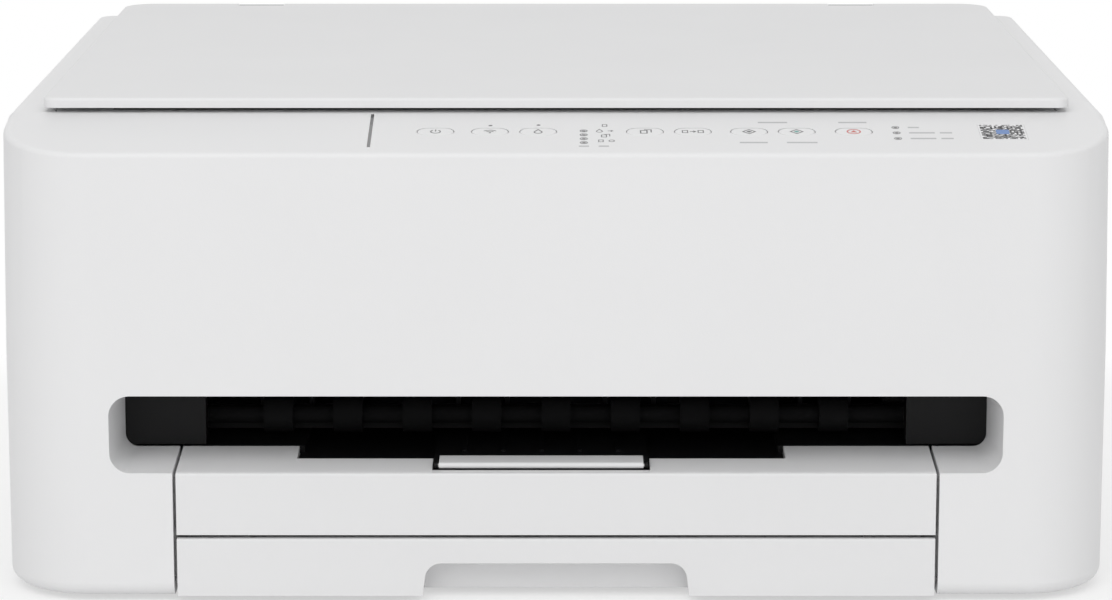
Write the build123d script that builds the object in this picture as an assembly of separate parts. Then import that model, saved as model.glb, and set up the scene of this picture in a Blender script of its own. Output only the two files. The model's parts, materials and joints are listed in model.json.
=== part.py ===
from build123d import *
import math
import os

os.makedirs("parts", exist_ok=True)

# Millimetres. X to the right, Y to the rear, Z up from the table, origin under the middle.

# Overall size
WIDTH = 375.0
DEPTH = 315.0
DECK_Z = 161.0
FOOT_H = 2.0
SEAM_Z = 82.0
WALL = 2.5
PART_GAP = 0.5
RUN_GAP = 0.3
FIT = 0.05
OVER = 1.0

# Outer case
FRONT_CORNER_R = 30.0
REAR_CORNER_R = 8.0
BOTTOM_R = 5.0
RIM_R = 2.0
SIDE_DRAFT = 0.75
PANEL_RUN = 42.0
PANEL_RISE = 7.6
FRONT_WRAP = 26.0

# Output recess in the front
RECESS_W = 300.0
RECESS_LOW_Z = 45.0
RECESS_TOP_Z = 71.5
RECESS_R = 7.0
RECESS_D = 30.0
RECESS_DRAFT = 4.5
OUTLET_W = 240.0
OUTLET_TOP_Z = 66.5
BEZEL_T = 2.0
BEZEL_FLANGE = 8.0
BEZEL_LIFT = 0.6

# Drawers
DRAWER_W = 255.8
DRAWER_GAP = 1.1
CASSETTE_TOP_Z = 22.3
SPLIT_GAP = 1.3
FRONT_T = 3.0
CASSETTE_L = 311.5
CASSETTE_WALL = 1.2
HANDLE_W = 90.0
HANDLE_TOP_Z = 13.7
HANDLE_D = 10.0
HANDLE_R = 5.5
TRAY_L = 177.0
SHELF_T = 2.5
SHELF_BACK_T = 3.5
NOTCH_W = 166.0
NOTCH_X = -5.0
NOTCH_Y = 16.2
TAB_W = 69.0
TAB_H = 2.1
TAB_FRONT = 5.0
TAB_SLOT = 2.2
GUIDE_T = 3.0
GROOVE_D = 3.0
GROOVE_H = 3.6
GROOVE_Z = 31.0

# Scanner unit
SCANNER_W = 342.0
SCANNER_FRONT = 47.0
HINGE_FROM_REAR = 8.0
SCAN_HINGE_Z = 140.0
SCAN_REAR_R = 7.3
GLASS_W = 304.0
GLASS_D = 222.0
GLASS_T = 3.0
GLASS_LEDGE = 2.5
SCAN_BAR_W = 22.0
SCAN_BAR_H = 12.0

# Document lid
LID_W = 350.0
LID_FRONT = 42.0
LID_REAR_GAP = 4.0
LID_GAP = 1.75
LID_T = 3.45
LID_SKIN = 1.5
LID_FRONT_R = 4.5
LID_REAR_R = 12.0
LID_EDGE_R = 1.1
KNUCKLE_R = 1.5
KNUCKLE_W = 18.0
LID_HINGE_X = 120.0
LID_PIN_R = 0.8

# Rollers and gears
SHAFT_R = 3.0
ROLLER_R = 6.0
FEED_Y = -48.0
EJECT_Y = -112.0
ROLLER_Z = 55.0
PAPER_W = 216.0
GEAR_MODULE = 0.8
FEED_TEETH = 40
IDLER_TEETH = 50
EJECT_TEETH = 20
PINION_TEETH = 12
PINION_ANGLE = -60.0
GEAR_X = -174.0
GEAR_W = 5.0

# Print carriage
RAIL_R = 4.0
RAIL_Y = -18.0
RAIL_Z = 84.0
SIDE_PLATE_X = 166.0
PLATE_T = 1.5
CARRIAGE_W = 74.0
CARRIAGE_X = 124.0
HEAD_Z = 63.0
CARRIAGE_TOP_Z = 106.0
BELT_Z = 92.0
PULLEY_R = 6.0
PULLEY_BORE = 2.0

# Control keys, as the middle of each key from the case's centre line
KEY_XS = (-40.5, -22.2, -6.0, 29.9, 46.0, 64.9, 80.9, 100.1)
KEY_L = 12.2
KEY_W = 7.3
KEY_ALONG = 23.3
KEY_GAP = 0.3
KEY_CAP_T = 2.2
KEY_STEM_R = 1.6
KEY_STEM_L = 3.6
SWITCH_DROP = 2.7
BOARD_T = 1.6

# Places that follow from the sizes above
FRONT_Y = -DEPTH / 2
REAR_Y = DEPTH / 2
CREASE_Z = DECK_Z - PANEL_RISE
PANEL_ANGLE = math.degrees(math.atan2(PANEL_RISE, PANEL_RUN))
BACK_OF_RECESS = FRONT_Y + RECESS_D
DECK_Y = FRONT_Y + PANEL_RUN
FLOOR_Z = FOOT_H + WALL

# Lights and label on the panel
LAMP_PLACES = ((-22.1, 29.6), (-5.9, 30.1), (114.4, 27.5), (114.4, 22.0), (114.4, 16.2),
               (9.3, 24.0), (9.3, 20.0), (9.3, 16.0), (9.3, 12.0))
LAMP_R = 0.7
BAR_X = -62.4
BAR_W = 1.1
BAR_START = 7.5
BAR_END = 41.5
LIGHT_DEPTH = 1.2
LABEL_X = 150.1
LABEL_ALONG = 23.0
LABEL_SIZE = 15.6
LABEL_T = 0.4
WIRE_HOLE = 3.0
LABEL_GAP = 0.1
BAR_GAP = 0.05

# Ways through the case
DRAWER_HALF = DRAWER_W / 2 + DRAWER_GAP
SCAN_HINGE_Y = REAR_Y - HINGE_FROM_REAR
WELL_FRONT = FRONT_Y + SCANNER_FRONT - PART_GAP
WELL_HALF = SCANNER_W / 2 + PART_GAP
REAR_CUT_Z = SCAN_HINGE_Z - SCAN_REAR_R + 1.0

# Rear door, sockets, screws and feet
REAR_DOOR_HALF = DRAWER_W / 2 - 15.9
REAR_DOOR_LOW = 27.0
REAR_DOOR_TOP = 76.0
INLET_X = 37.5 - WIDTH / 2
INLET_Z = 26.0
INLET_W = 21.0
INLET_H = 13.0
INLET_D = 14.0
PORT_X = WIDTH / 2 - 37.5
PORT_Z = 30.0
PORT_W = 12.0
PORT_H = 11.0
PORT_D = 12.0
SOCKET_WALL = 1.5
SCREW_R = 1.5
SCREW_HEAD_R = 3.2
SCREW_HEAD_H = 1.4
SCREW_L = 8.0
SCREW_X = WIDTH / 2 - 9.5
SCREW_PLACES = ((-SCREW_X, 12.0), (SCREW_X, 12.0), (-SCREW_X, 70.0), (SCREW_X, 70.0))
FOOT_LONG = 26.0
FOOT_WIDE = 12.0
FOOT_X = WIDTH / 2 - 35.5
FOOT_Y = REAR_Y - 25.5
BOSS = 7.0
DOOR_PIN_R = 1.5
DOOR_T = 2.0
DOOR_AXIS_Y = REAR_Y - 3.6
DOOR_AXIS_Z = REAR_DOOR_LOW + 3.0
DOOR_GAP = 0.6
DOOR_SWING = 0.7
DOOR_FRAME_D = 8.0
DOOR_HINGE_W = 5.0
DOOR_RIBS = 9
DOOR_RIB_H = 3.5
DOOR_RIB_LOW = 36.0
DOOR_EAR_W = 4.0
DOOR_EAR_H = 6.0
GRIP_W = 44.0
GRIP_H = 9.0
RIB_T = 1.6
INLET_PIN_X = 4.5
INLET_PIN_R = 1.2
INLET_PIN_SUNK = 6.0
TONGUE_W = 6.0
TONGUE_T = 3.0
SCREW_GAP = 0.4
CROSS_L = 3.0
CROSS_W = 0.7
FOOT_R = 4.0
SOCKET_SUNK = 0.3
SCREW_SEAT = REAR_Y - SCREW_HEAD_H - SCREW_GAP
DOOR_RIB_INSET = 16.0
DOOR_PIN_L = 3.2

# Inside the drawers
CASSETTE_TUB_HALF = DRAWER_W / 2 - 3.5
CASSETTE_FRONT = FRONT_Y + HANDLE_D + FRONT_T
CASSETTE_LOW = FLOOR_Z + RUN_GAP
CASSETTE_RIM = CASSETTE_TOP_Z - 1.5
TRAY_LOW = CASSETTE_TOP_Z + SPLIT_GAP
SHELF_SLOPE = math.tan(math.radians(RECESS_DRAFT))
SHELF_BACK_Z = RECESS_LOW_Z + RECESS_D * SHELF_SLOPE
NOTCH_X0 = NOTCH_X - NOTCH_W / 2
NOTCH_X1 = NOTCH_X + NOTCH_W / 2
TAB_X0 = NOTCH_X - TAB_W / 2
TAB_X1 = NOTCH_X + TAB_W / 2
LIFT_L = 64.0
LIFT_PIN_R = 1.5
LIFT_EAR_X = 67.0
LIFT_NEAR = 24.0
LIFT_LOW = CASSETTE_LOW + CASSETTE_WALL + RUN_GAP
SIDE_GUIDE_X = CASSETTE_TUB_HALF - 15.9
RACK_H = 2.0
RACK_W = 5.0
GUIDE_PINION_TEETH = 12
GUIDE_MODULE = 1.0
GUIDE_Y = 40.0
GUIDE_PINION_Y = GUIDE_Y - 35.0
GUIDE_PIN_R = 2.0
LENGTH_GUIDE_Y = CASSETTE_FRONT + CASSETTE_WALL + 0.6
SUPPORT_Z = RECESS_LOW_Z + RUN_GAP
SUPPORT_T = 1.2
SUPPORT_L = 84.0
WELL_T = 1.5
WELL_FAR = FRONT_Y + NOTCH_Y + SUPPORT_L + 4.0
INSERT_Y = BACK_OF_RECESS + RUN_GAP
CHEEK_W = 1.4
STOP_PIN_R = 0.6
STOP_AXIS_Y = FRONT_Y + TAB_FRONT + TAB_H / 2
STOP_AXIS_Z = SUPPORT_Z + TAB_H / 2
EAR_HALF = 2.5
EAR_REACH = 4.0
FRONT_LIFT = 0.3
POCKET_LIFT = 0.6
HANDLE_FLARE = 3.0
HANDLE_ANGLE = 83
LUG_HALF = 8.0
LUG_INSET = 12.0
LUG_LIFT = 3.0
FRONT_EDGE_R = 0.8
LIFT_HALF = 60.0
LIFT_T = 1.5
LIFT_GAP = 0.2
FENCE_T = 1.8
FENCE_NEAR = GUIDE_Y - 55.0
FENCE_FAR = GUIDE_Y - 22.0
FENCE_DROP = 1.0
RACK_END = 6.0
RACK_SET = 1.2 * GUIDE_MODULE
STOP_HALF = 18.0
STOP_T = 1.6
STOP_FOOT_HALF = 10.0
STOP_FOOT_L = 20.0
STOP_FOOT_T = 1.5
WALL_DROP = 1.0
GROOVE_START = 4.0
RIB_COUNT = 5
RIB_INSET = 10.0
RIB_NEAR = 9.0
RIB_H = 0.6
GUIDE_START = FRONT_Y + FRONT_T + 6.0
GUIDE_GAP = 0.6
GUIDE_DROP = 3.0

# Inside the scanner
SCAN_LOW = SCAN_HINGE_Z - SCAN_REAR_R
SCAN_FRONT_Y = FRONT_Y + SCANNER_FRONT
SCAN_HALF = SCANNER_W / 2
SCAN_MID_Z = DECK_Z - 4.0
SCAN_WALL = 2.0
GLASS_MID_Y = 4.0
GLASS_Y0 = GLASS_MID_Y - GLASS_D / 2
GLASS_Y1 = GLASS_MID_Y + GLASS_D / 2
SCAN_PIN_R = 3.0
SCAN_PIN_L = 5.0
BRACKET_T = 8.0
SCAN_RAIL_R = 2.5
SCAN_RAIL_Z = 140.0
SCAN_BAR_LOW = 143.0
SCAN_START_X = -140.0
SCAN_PULLEY_R = 4.0
SCAN_PULLEY_BORE = 1.5
SCAN_BELT_Y = 22.0
SCAN_PULLEY_X = 158.0
SCAN_BACK = REAR_Y - 1.0
RAIL_SEAT_W = 10.0
RAIL_SEAT_L = 5.0
RAIL_SEAT_TOP = SCAN_RAIL_Z + 4.0
RAIL_END = 3.0
RAIL_GAP = 0.2
PULLEY_PIN_H = 8.5
DECK_BACK = REAR_Y - 1.6
DECK_R = 2.0
DECK_WALL = 4.0
DECK_REAR = 22.0
DECK_SKIN = 0.5
GLASS_GAP = 0.2
GLASS_DROP = 0.05
BAR_INSET = 4.0
BAR_TROUGH = 5.0
TROUGH_INSET = 7.0
TROUGH_D = 2.0
SLIDER_HALF = 6.0
LENS_HALF = 2.0
LENS_INSET = 9.0
LENS_DROP = 0.5
FLANGE_T = 0.8
FLANGE_R = 1.2
SCAN_PULLEY_H = 6.0
SCAN_PULLEY_Z = SCAN_LOW + SCAN_WALL + 1.0
SCAN_BELT_W = 2.5
BELT_T = 0.8
EAR_LOW = SEAM_Z + 24.0
EAR_TOP = SCAN_HINGE_Z + 5.0
EAR_BACK = 4.6

# Lid hinges
LIFT_BLOCK_W = 14.0
LIFT_BLOCK_D = 7.0
LIFT_BLOCK_L = 20.0
LID_HINGE_Y = REAR_Y - LID_REAR_GAP - 2.0
LID_LOW = DECK_Z + LID_GAP
LID_HINGE_Z = LID_LOW + LID_T / 2
LIFT_Y = LID_HINGE_Y - 1.0
LIFT_WELL_L = 12.0
NOTCH_REACH = 4.4
LID_ROOM = 14.0
LID_ROOM_FRONT = 8.0
PAD_INSET = 16.0
PAD_FRONT = 10.0
PAD_REAR = 17.0
PAD_R = 4.0
LID_BORE_L = 4.0
LID_PIN_L = 3.6
NECK_INSET = 2.0

# Print engine
SHAFT_END = GEAR_X - 3.0
PINCH_R = 3.0
STAR_R = 4.5
PAPER_Z = ROLLER_Z + ROLLER_R
STAR_Z = PAPER_Z + STAR_R + 0.4
PINCH_Z = PAPER_Z + PINCH_R + 0.4
STAR_XS = tuple(-96.0 + 24.0 * count for count in range(9))
MOTOR_R = 13.0
MOTOR_L = 26.0
CARTRIDGE_D = 58.0
CARTRIDGE_H = 34.0
BELT_Y = RAIL_Y + 12.0
PULLEY_X = 150.0
PICK_AXIS_Y = 30.0
PICK_AXIS_Z = 50.0
PICK_ROLL_Y = 62.0
PICK_ROLL_R = 11.0
PICK_ROLL_Z = 33.0
IDLER_Y = FEED_Y - GEAR_MODULE * (FEED_TEETH + IDLER_TEETH) / 2
PINION_REACH = GEAR_MODULE * (FEED_TEETH + PINION_TEETH) / 2
PINION_Y = FEED_Y + PINION_REACH * math.cos(math.radians(PINION_ANGLE))
PINION_Z = ROLLER_Z + PINION_REACH * math.sin(math.radians(PINION_ANGLE))
FRAME_LOW = RECESS_LOW_Z + 3.5
FRAME_TOP = 118.0
FRAME_Y = 4.0
FRAME_LIP = 12.0
FRAME_CLEAR = 6.0
SIDE_TOP = FRAME_TOP - 12.0
SIDE_FRONT = EJECT_Y - 10.0
SIDE_BACK = 40.0
FRAME_FOOT_X = 14.0
FRAME_FOOT_D = 15.0
FRAME_TOE_D = 8.0
PICK_PIN_Z = PICK_AXIS_Z + 2.0
PICK_SHAFT_R = 2.5
PULLEY_PIN_L = 4.5
PULLEY_PIN_IN = 1.0
RAIL_OUT = 2.0
SHAFT_OUT = 3.0
HEAD_FRONT = EJECT_Y + 8.0
HEAD_BACK = FEED_Y - 10.0
CARRIAGE_WALL = 2.0
CARRIAGE_RIM = 6.0
SLIDER_BACK = 7.0
SLIDER_LOW = 8.0
CELL_GAP = 0.5
WELL_SHORT = 12.0
CELL_SHORT = 13.0
CELL_R = 2.0
CELL_GRIP = 6.0
CELL_GRIP_INSET = 3.0
PULLEY_HALF = 3.5
PULLEY_FLANGE = 1.5
BELT_W = 4.0
MOTOR_SHIFT = 2.0
PLATEN_GAP = 1.5
PLATEN_LOW = SHELF_BACK_Z + 1.0
PLATEN_TOP = PAPER_Z - 4.0
PLATEN_RIBS = 13
PLATEN_PITCH = 17.0
PLATEN_LEFT = 8.0
PLATEN_RIGHT = 4.0
PLATEN_BAR = 4.0
RIB_DROP = 0.5
SLEEVE_OUT = 4.0
RING_HALF = 5.0
PINION_AXLE_R = 1.5
PINION_AXLE_IN = 4.0
MOTOR_BORE_L = 6.0
MOTOR_GAP = 3.0
MOTOR_FOOT = 1.5
PINCH_HALF = 9.0
ARM_REACH = 8.0
ARM_D = 4.0
ARM_TOP = 5.0
ARM_LOW = 2.0
ARM_T = 2.5
STAR_TEETH = 16
STAR_SHARE = 0.88
STAR_T = 1.2
STAR_BAR_NEAR = 8.0
STAR_BAR_FAR = 6.0
STAR_BAR_T = 3.0
STAR_ARM_X = 2.2
STAR_ARM_HALF = 4.0
STAR_ARM_LOW = 2.0
PICK_HALF = 14.0
CHEEK_MID = 16.0
CHEEK_HALF = 1.5
ARM_END_R = 6.0
ARM_FAR_R = 5.0
ARM_H = 7.0
TIE_Y = PICK_AXIS_Y + 18.0
TIE_Z = PICK_AXIS_Z - 5.0
TIE_D = 5.0
TIE_T = 3.0
PICK_PIN_R = 2.0
PICK_PIN_HALF = 17.0
PICK_BORE_HALF = 20.0
PURGE_FRONT = EJECT_Y + 12.0
PURGE_BACK = FEED_Y - 10.0
PURGE_SIDE = 6.0
PURGE_GAP = 0.5
PURGE_LEG_X = 16.0
PURGE_DROP = 4.0
CAP_XS = (PAPER_W / 2 + 12.0, PAPER_W / 2 + 34.0)
CAP_W = 16.0
CAP_RIM = 1.5
CAP_INSET = 8.0
CAP_DROP = 5.0
CAP_TOP = 0.6
CAP_FLOOR = 3.0
ABSORBER_H = 14.0
ABSORBER_GAP = 2.0
ABSORBER_BACK = 20.0

# Supply and circuit boards
SUPPLY_GAP = 3.0
SUPPLY_SIDE = 8.0
SUPPLY_FRONT = 48.0
SUPPLY_BACK = REAR_Y - INLET_D - 6.0
SUPPLY_H = 42.0
MAIN_X = WIDTH / 2 - WALL - 9.0
MAIN_FRONT = 30.0
MAIN_BACK = REAR_Y - PORT_D - 6.0
MAIN_TOP = SEAM_Z + 22.0
CHIP_PLACES = ((60.0, 40.0), (60.0, 70.0), (95.0, 55.0))
CHIP_W = 16.0
CHIP_T = 2.0
PANEL_BOARD_MID = 22.0
PANEL_BOARD_W = 196.0
PANEL_BOARD_L = 26.0
SWITCH_W = 5.0
SWITCH_T = 1.2
POST_XS = (-70.0, 114.0)
POST_ALONG = 14.0
POST_R = 2.0
KEY_EDGE_R = 0.4
SKIRT = 1.0


def block(x0, x1, y0, y1, z0, z1):
    """A box between two corners."""
    middle = Pos((x0 + x1) / 2, (y0 + y1) / 2, (z0 + z1) / 2)
    return middle * Box(x1 - x0, y1 - y0, z1 - z0)


def soft_block(x0, x1, y0, y1, z0, z1, radius):
    """A box with its upright edges rounded."""
    box = block(x0, x1, y0, y1, z0, z1)
    return fillet(box.edges().filter_by(Axis.Z), radius)


def rod(axis, start, end, a, b, radius):
    """A round bar along one axis; a and b are its place on the other two."""
    middle = (start + end) / 2
    bar = Cylinder(radius, end - start)
    if axis == "X":
        return Pos(middle, a, b) * Rot(0, 90, 0) * bar
    if axis == "Y":
        return Pos(a, middle, b) * Rot(90, 0, 0) * bar
    return Pos(a, b, middle) * bar


def both_sides(solid):
    """A solid and its mirror image across the middle, as two solids."""
    return [solid, mirror(solid, Plane.YZ)]


def save(name, shape):
    """Write one node; a list becomes a group of separate solids."""
    solids = []
    for item in shape if isinstance(shape, list) else [shape]:
        solids.extend(item.solids())
    whole = solids[0] if len(solids) == 1 else Compound(children=solids)
    export_step(whole, f"parts/{name}.step")


# The outside form of the case and the same form set in from it

def plan(inset):
    """The outline seen from above: wide rounds in front, small ones behind."""
    face = Rectangle(WIDTH - 2 * inset, DEPTH - 2 * inset)
    front = face.vertices().sort_by(Axis.Y)[:2]
    face = fillet(front, FRONT_CORNER_R - inset)
    rear = face.vertices().sort_by(Axis.Y)[-2:]
    return fillet(rear, REAR_CORNER_R - inset)


def side_profile(inset):
    """The outline seen from the side: upright front, sloping panel, level deck."""
    low, top = FOOT_H + inset, DECK_Z - inset
    lean = math.radians(PANEL_ANGLE)
    crease_z = CREASE_Z - inset / math.cos(lean) + inset * math.tan(lean)
    deck_y = FRONT_Y + PANEL_RUN + inset * math.tan(lean / 2)
    far = DEPTH
    outline = Polyline((FRONT_Y - far, low), (far, low), (far, top), (deck_y, top),
                       (FRONT_Y + inset, crease_z), (FRONT_Y - far, crease_z - far * math.tan(lean)),
                       close=True)
    return Plane.YZ * make_face(outline)


def envelope(inset):
    """The whole case as one closed solid, set in by a wall thickness."""
    low = FOOT_H + inset
    lower = extrude(Pos(0, 0, low) * plan(inset), SEAM_Z - low)
    upper = extrude(Pos(0, 0, SEAM_Z) * plan(inset), DECK_Z - SEAM_Z, taper=SIDE_DRAFT)
    return (lower + upper) & extrude(side_profile(inset), WIDTH, both=True)


def recess_form(grow, length):
    """The output recess as a solid that narrows towards the back."""
    middle_z = (RECESS_LOW_Z + RECESS_TOP_Z) / 2
    height = RECESS_TOP_Z - RECESS_LOW_Z
    mouth = RectangleRounded(RECESS_W + 2 * grow, height + 2 * grow, RECESS_R + grow)
    into = Plane(origin=(0, FRONT_Y, middle_z), x_dir=(-1, 0, 0), z_dir=(0, 1, 0))
    return extrude(into * mouth, length, taper=RECESS_DRAFT)


def on_panel(x, along, height=0.0):
    """A place on the sloping panel; along is measured back from the crease."""
    lean = math.radians(PANEL_ANGLE)
    y = FRONT_Y + along * math.cos(lean) - height * math.sin(lean)
    z = CREASE_Z + along * math.sin(lean) + height * math.cos(lean)
    return Pos(x, y, z) * Rot(PANEL_ANGLE, 0, 0)


# Case parts

def key_hole(x):
    """The pill-shaped way through the panel for one key, with its stem's bore below."""
    pill = SlotOverall(KEY_L + 2 * KEY_GAP, KEY_W + 2 * KEY_GAP)
    return on_panel(x, KEY_ALONG) * extrude(pill, 2 * WALL, both=True)


def panel_slot(x, start, end, width, depth):
    """A narrow straight groove in the panel, running up the slope."""
    bar = Box(width, end - start, 2 * depth)
    return on_panel(x, (start + end) / 2) * bar


def lamp(x, along, radius):
    """One round light window, level with the panel."""
    return on_panel(x, along, -LIGHT_DEPTH / 2) * Cylinder(radius, LIGHT_DEPTH)


def front_zone():
    """The space that the one-piece upper case takes in front of the lower case."""
    low = SEAM_Z + PART_GAP / 2
    return (block(-WIDTH, WIDTH, FRONT_Y - OVER, FRONT_Y + FRONT_WRAP, 0, DECK_Z + OVER)
            + block(-WIDTH, WIDTH, FRONT_Y - OVER, REAR_Y + OVER, low, DECK_Z + OVER))


def outer_case():
    """Front, panel, rim and upper walls in one moulding."""
    case = envelope(0)
    top = case.edges().filter_by(lambda edge: edge.bounding_box().min.Z > CREASE_Z - 2)
    rim = top.filter_by(lambda edge: edge.length < LID_W or abs((edge @ 0.5).Y - DECK_Y) > 1)
    case = fillet(rim, RIM_R)
    low = case.edges().group_by(Axis.Z)[0]
    case = fillet(low, BOTTOM_R)
    shell = case - envelope(WALL)
    shell = shell & front_zone()
    sleeve = recess_form(WALL, RECESS_D)
    cavity = recess_form(0, RECESS_D)
    shell = (shell + sleeve) - cavity
    shell -= block(-DRAWER_HALF, DRAWER_HALF, FRONT_Y - OVER, BACK_OF_RECESS + OVER, 0, RECESS_LOW_Z + 4)
    shell -= block(-WELL_HALF, WELL_HALF, WELL_FRONT, REAR_Y + OVER, DECK_Z - WALL - OVER, DECK_Z + OVER)
    shell -= block(-WELL_HALF, WELL_HALF, REAR_Y - WALL - OVER, REAR_Y + OVER, REAR_CUT_Z, DECK_Z + OVER)
    for x in KEY_XS:
        shell -= key_hole(x)
    shell -= panel_slot(BAR_X, BAR_START, BAR_END, BAR_W, LIGHT_DEPTH)
    for x, along in LAMP_PLACES:
        wire_way = on_panel(x, along, -LIGHT_DEPTH) * Cylinder(LAMP_R / 2, WIRE_HOLE)
        shell -= lamp(x, along, LAMP_R) + wire_way
    seat = LABEL_SIZE + 2 * LABEL_GAP
    shell -= on_panel(LABEL_X, LABEL_ALONG) * Box(seat, seat, LABEL_T)
    for bracket in hinge_brackets():
        shell += bracket
    return shell


def socket_way(x, z, width, height):
    """The hole in the rear wall for one socket shell."""
    half_w, half_h = width / 2 + SOCKET_WALL, height / 2 + SOCKET_WALL
    return block(x - half_w, x + half_w, REAR_Y - DOOR_FRAME_D, REAR_Y + OVER, z - half_h, z + half_h)


def lower_case():
    """Base plate with the lower side and rear walls, open in front for the drawers."""
    tub = envelope(0)
    tub = fillet(tub.edges().group_by(Axis.Z)[0], BOTTOM_R)
    inside = envelope(WALL) + block(-WIDTH, WIDTH, FRONT_Y, REAR_Y, SEAM_Z - PART_GAP / 2, DECK_Z + OVER)
    tub -= inside
    keep = block(-WIDTH, WIDTH, FRONT_Y + FRONT_WRAP + PART_GAP, REAR_Y + OVER, 0, SEAM_Z)
    base_front = block(-DRAWER_HALF, DRAWER_HALF, FRONT_Y + HANDLE_D + FRONT_T,
                       FRONT_Y + FRONT_WRAP + OVER, FOOT_H, FLOOR_Z)
    base_sides = both_sides(block(DRAWER_HALF, WIDTH / 2 - FRONT_CORNER_R, FRONT_Y + FRONT_T,
                                  FRONT_Y + FRONT_WRAP + OVER, FLOOR_Z, FLOOR_Z + WALL))
    tub = (tub & keep) + base_front
    for side in base_sides:
        tub += side
    for side in (-1, 1):
        x = side * (WIDTH / 2 - WALL - BOSS / 2)
        post = block(x - BOSS / 2, x + BOSS / 2, REAR_Y - WALL - BOSS, REAR_Y - WALL, FLOOR_Z, SEAM_Z - 2)
        tub += post
    tub -= block(-REAR_DOOR_HALF - DOOR_GAP, REAR_DOOR_HALF + DOOR_GAP, REAR_Y - DOOR_FRAME_D,
                 REAR_Y + OVER, REAR_DOOR_LOW - DOOR_GAP - DOOR_SWING, REAR_DOOR_TOP + DOOR_GAP)
    for half in (-1, 1):
        middle = half * (REAR_DOOR_HALF + 1.0 + DOOR_HINGE_W / 2)
        tub += block(middle - DOOR_HINGE_W / 2, middle + DOOR_HINGE_W / 2, REAR_Y - DOOR_FRAME_D,
                     REAR_Y - WALL, REAR_DOOR_LOW, REAR_DOOR_LOW + DOOR_FRAME_D)
    reach = REAR_DOOR_HALF + DOOR_EAR_W
    tub -= rod("X", -reach, reach, DOOR_AXIS_Y, DOOR_AXIS_Z, DOOR_PIN_R + FIT)
    tub -= socket_way(INLET_X, INLET_Z, INLET_W, INLET_H)
    tub -= socket_way(PORT_X, PORT_Z, PORT_W, PORT_H)
    for x, z in SCREW_PLACES:
        tub -= rod("Y", SCREW_SEAT, REAR_Y + OVER, x, z, SCREW_HEAD_R + SCREW_GAP)
        tub -= rod("Y", REAR_Y - SCREW_L - 2 * OVER, REAR_Y, x, z, SCREW_R + FIT)
    for guide in drawer_guides():
        tub += guide
    return tub


def rear_cover():
    """Door over the rear paper turn, on two pins near its lower edge."""
    door = block(-REAR_DOOR_HALF, REAR_DOOR_HALF, REAR_Y - DOOR_T, REAR_Y, REAR_DOOR_LOW, REAR_DOOR_TOP)
    heel = door.edges().filter_by(Axis.X).group_by(Axis.Z)[0].sort_by(Axis.Y)[-1]
    door = fillet(heel, DOOR_T - 0.1)
    for rib in range(DOOR_RIBS):
        x = (2 * rib / (DOOR_RIBS - 1) - 1) * (REAR_DOOR_HALF - DOOR_RIB_INSET)
        door += block(x - RIB_T / 2, x + RIB_T / 2, REAR_Y - DOOR_T - DOOR_RIB_H, REAR_Y - DOOR_T,
                      DOOR_RIB_LOW, REAR_DOOR_TOP - DOOR_EAR_W)
    door -= block(-GRIP_W / 2, GRIP_W / 2, REAR_Y - DOOR_T / 2, REAR_Y + OVER, REAR_DOOR_TOP - GRIP_H,
                  REAR_DOOR_TOP + OVER)
    ears = block(REAR_DOOR_HALF - DOOR_EAR_W, REAR_DOOR_HALF, REAR_Y - DOOR_EAR_H, REAR_Y - DOOR_T,
                 REAR_DOOR_LOW, REAR_DOOR_LOW + DOOR_EAR_H)
    ears += rod("X", REAR_DOOR_HALF - DOOR_EAR_W / 2, REAR_DOOR_HALF + DOOR_PIN_L, DOOR_AXIS_Y,
                DOOR_AXIS_Z, DOOR_PIN_R)
    for ear in both_sides(ears):
        door += ear
    return door


def socket(x, z, width, height, depth):
    """A box-shaped socket shell, closed behind and level with the rear wall."""
    outer = block(x - width / 2 - SOCKET_WALL, x + width / 2 + SOCKET_WALL,
                  REAR_Y - depth - SOCKET_WALL, REAR_Y - SOCKET_SUNK,
                  z - height / 2 - SOCKET_WALL, z + height / 2 + SOCKET_WALL)
    hollow = block(x - width / 2, x + width / 2, REAR_Y - depth, REAR_Y, z - height / 2, z + height / 2)
    return outer - hollow


def ac_inlet():
    """Two-pin mains inlet with its pins standing in the hollow."""
    inlet = socket(INLET_X, INLET_Z, INLET_W, INLET_H, INLET_D)
    for side in (-1, 1):
        inlet += rod("Y", REAR_Y - INLET_D - OVER, REAR_Y - INLET_PIN_SUNK,
                     INLET_X + side * INLET_PIN_X, INLET_Z, INLET_PIN_R)
    return inlet


def usb_port():
    """Square data socket with its contact tongue."""
    port = socket(PORT_X, PORT_Z, PORT_W, PORT_H, PORT_D)
    tongue = block(PORT_X - TONGUE_W / 2, PORT_X + TONGUE_W / 2, REAR_Y - PORT_D - OVER,
                   REAR_Y - WALL, PORT_Z - TONGUE_T / 3, PORT_Z + 2 * TONGUE_T / 3)
    return port + tongue


def rubber_feet():
    """Four pads under the corners."""
    pads = []
    for x in (-FOOT_X, FOOT_X):
        for y in (-FOOT_Y, FOOT_Y):
            pads.append(soft_block(x - FOOT_LONG / 2, x + FOOT_LONG / 2, y - FOOT_WIDE / 2,
                                   y + FOOT_WIDE / 2, 0, FOOT_H, FOOT_R))
    return pads


def case_screws():
    """Screws that hold the lower case, sunk in the rear wall."""
    screws = []
    for x, z in SCREW_PLACES:
        head = rod("Y", SCREW_SEAT, SCREW_SEAT + SCREW_HEAD_H, x, z, SCREW_HEAD_R)
        cross = Box(CROSS_L, OVER, CROSS_W) + Box(CROSS_W, OVER, CROSS_L)
        head -= Pos(x, SCREW_SEAT + SCREW_HEAD_H, z) * cross
        shank = rod("Y", SCREW_SEAT - SCREW_L + 2 * OVER, SCREW_SEAT + OVER / 10, x, z, SCREW_R)
        screws.append(head + shank)
    return screws


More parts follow.
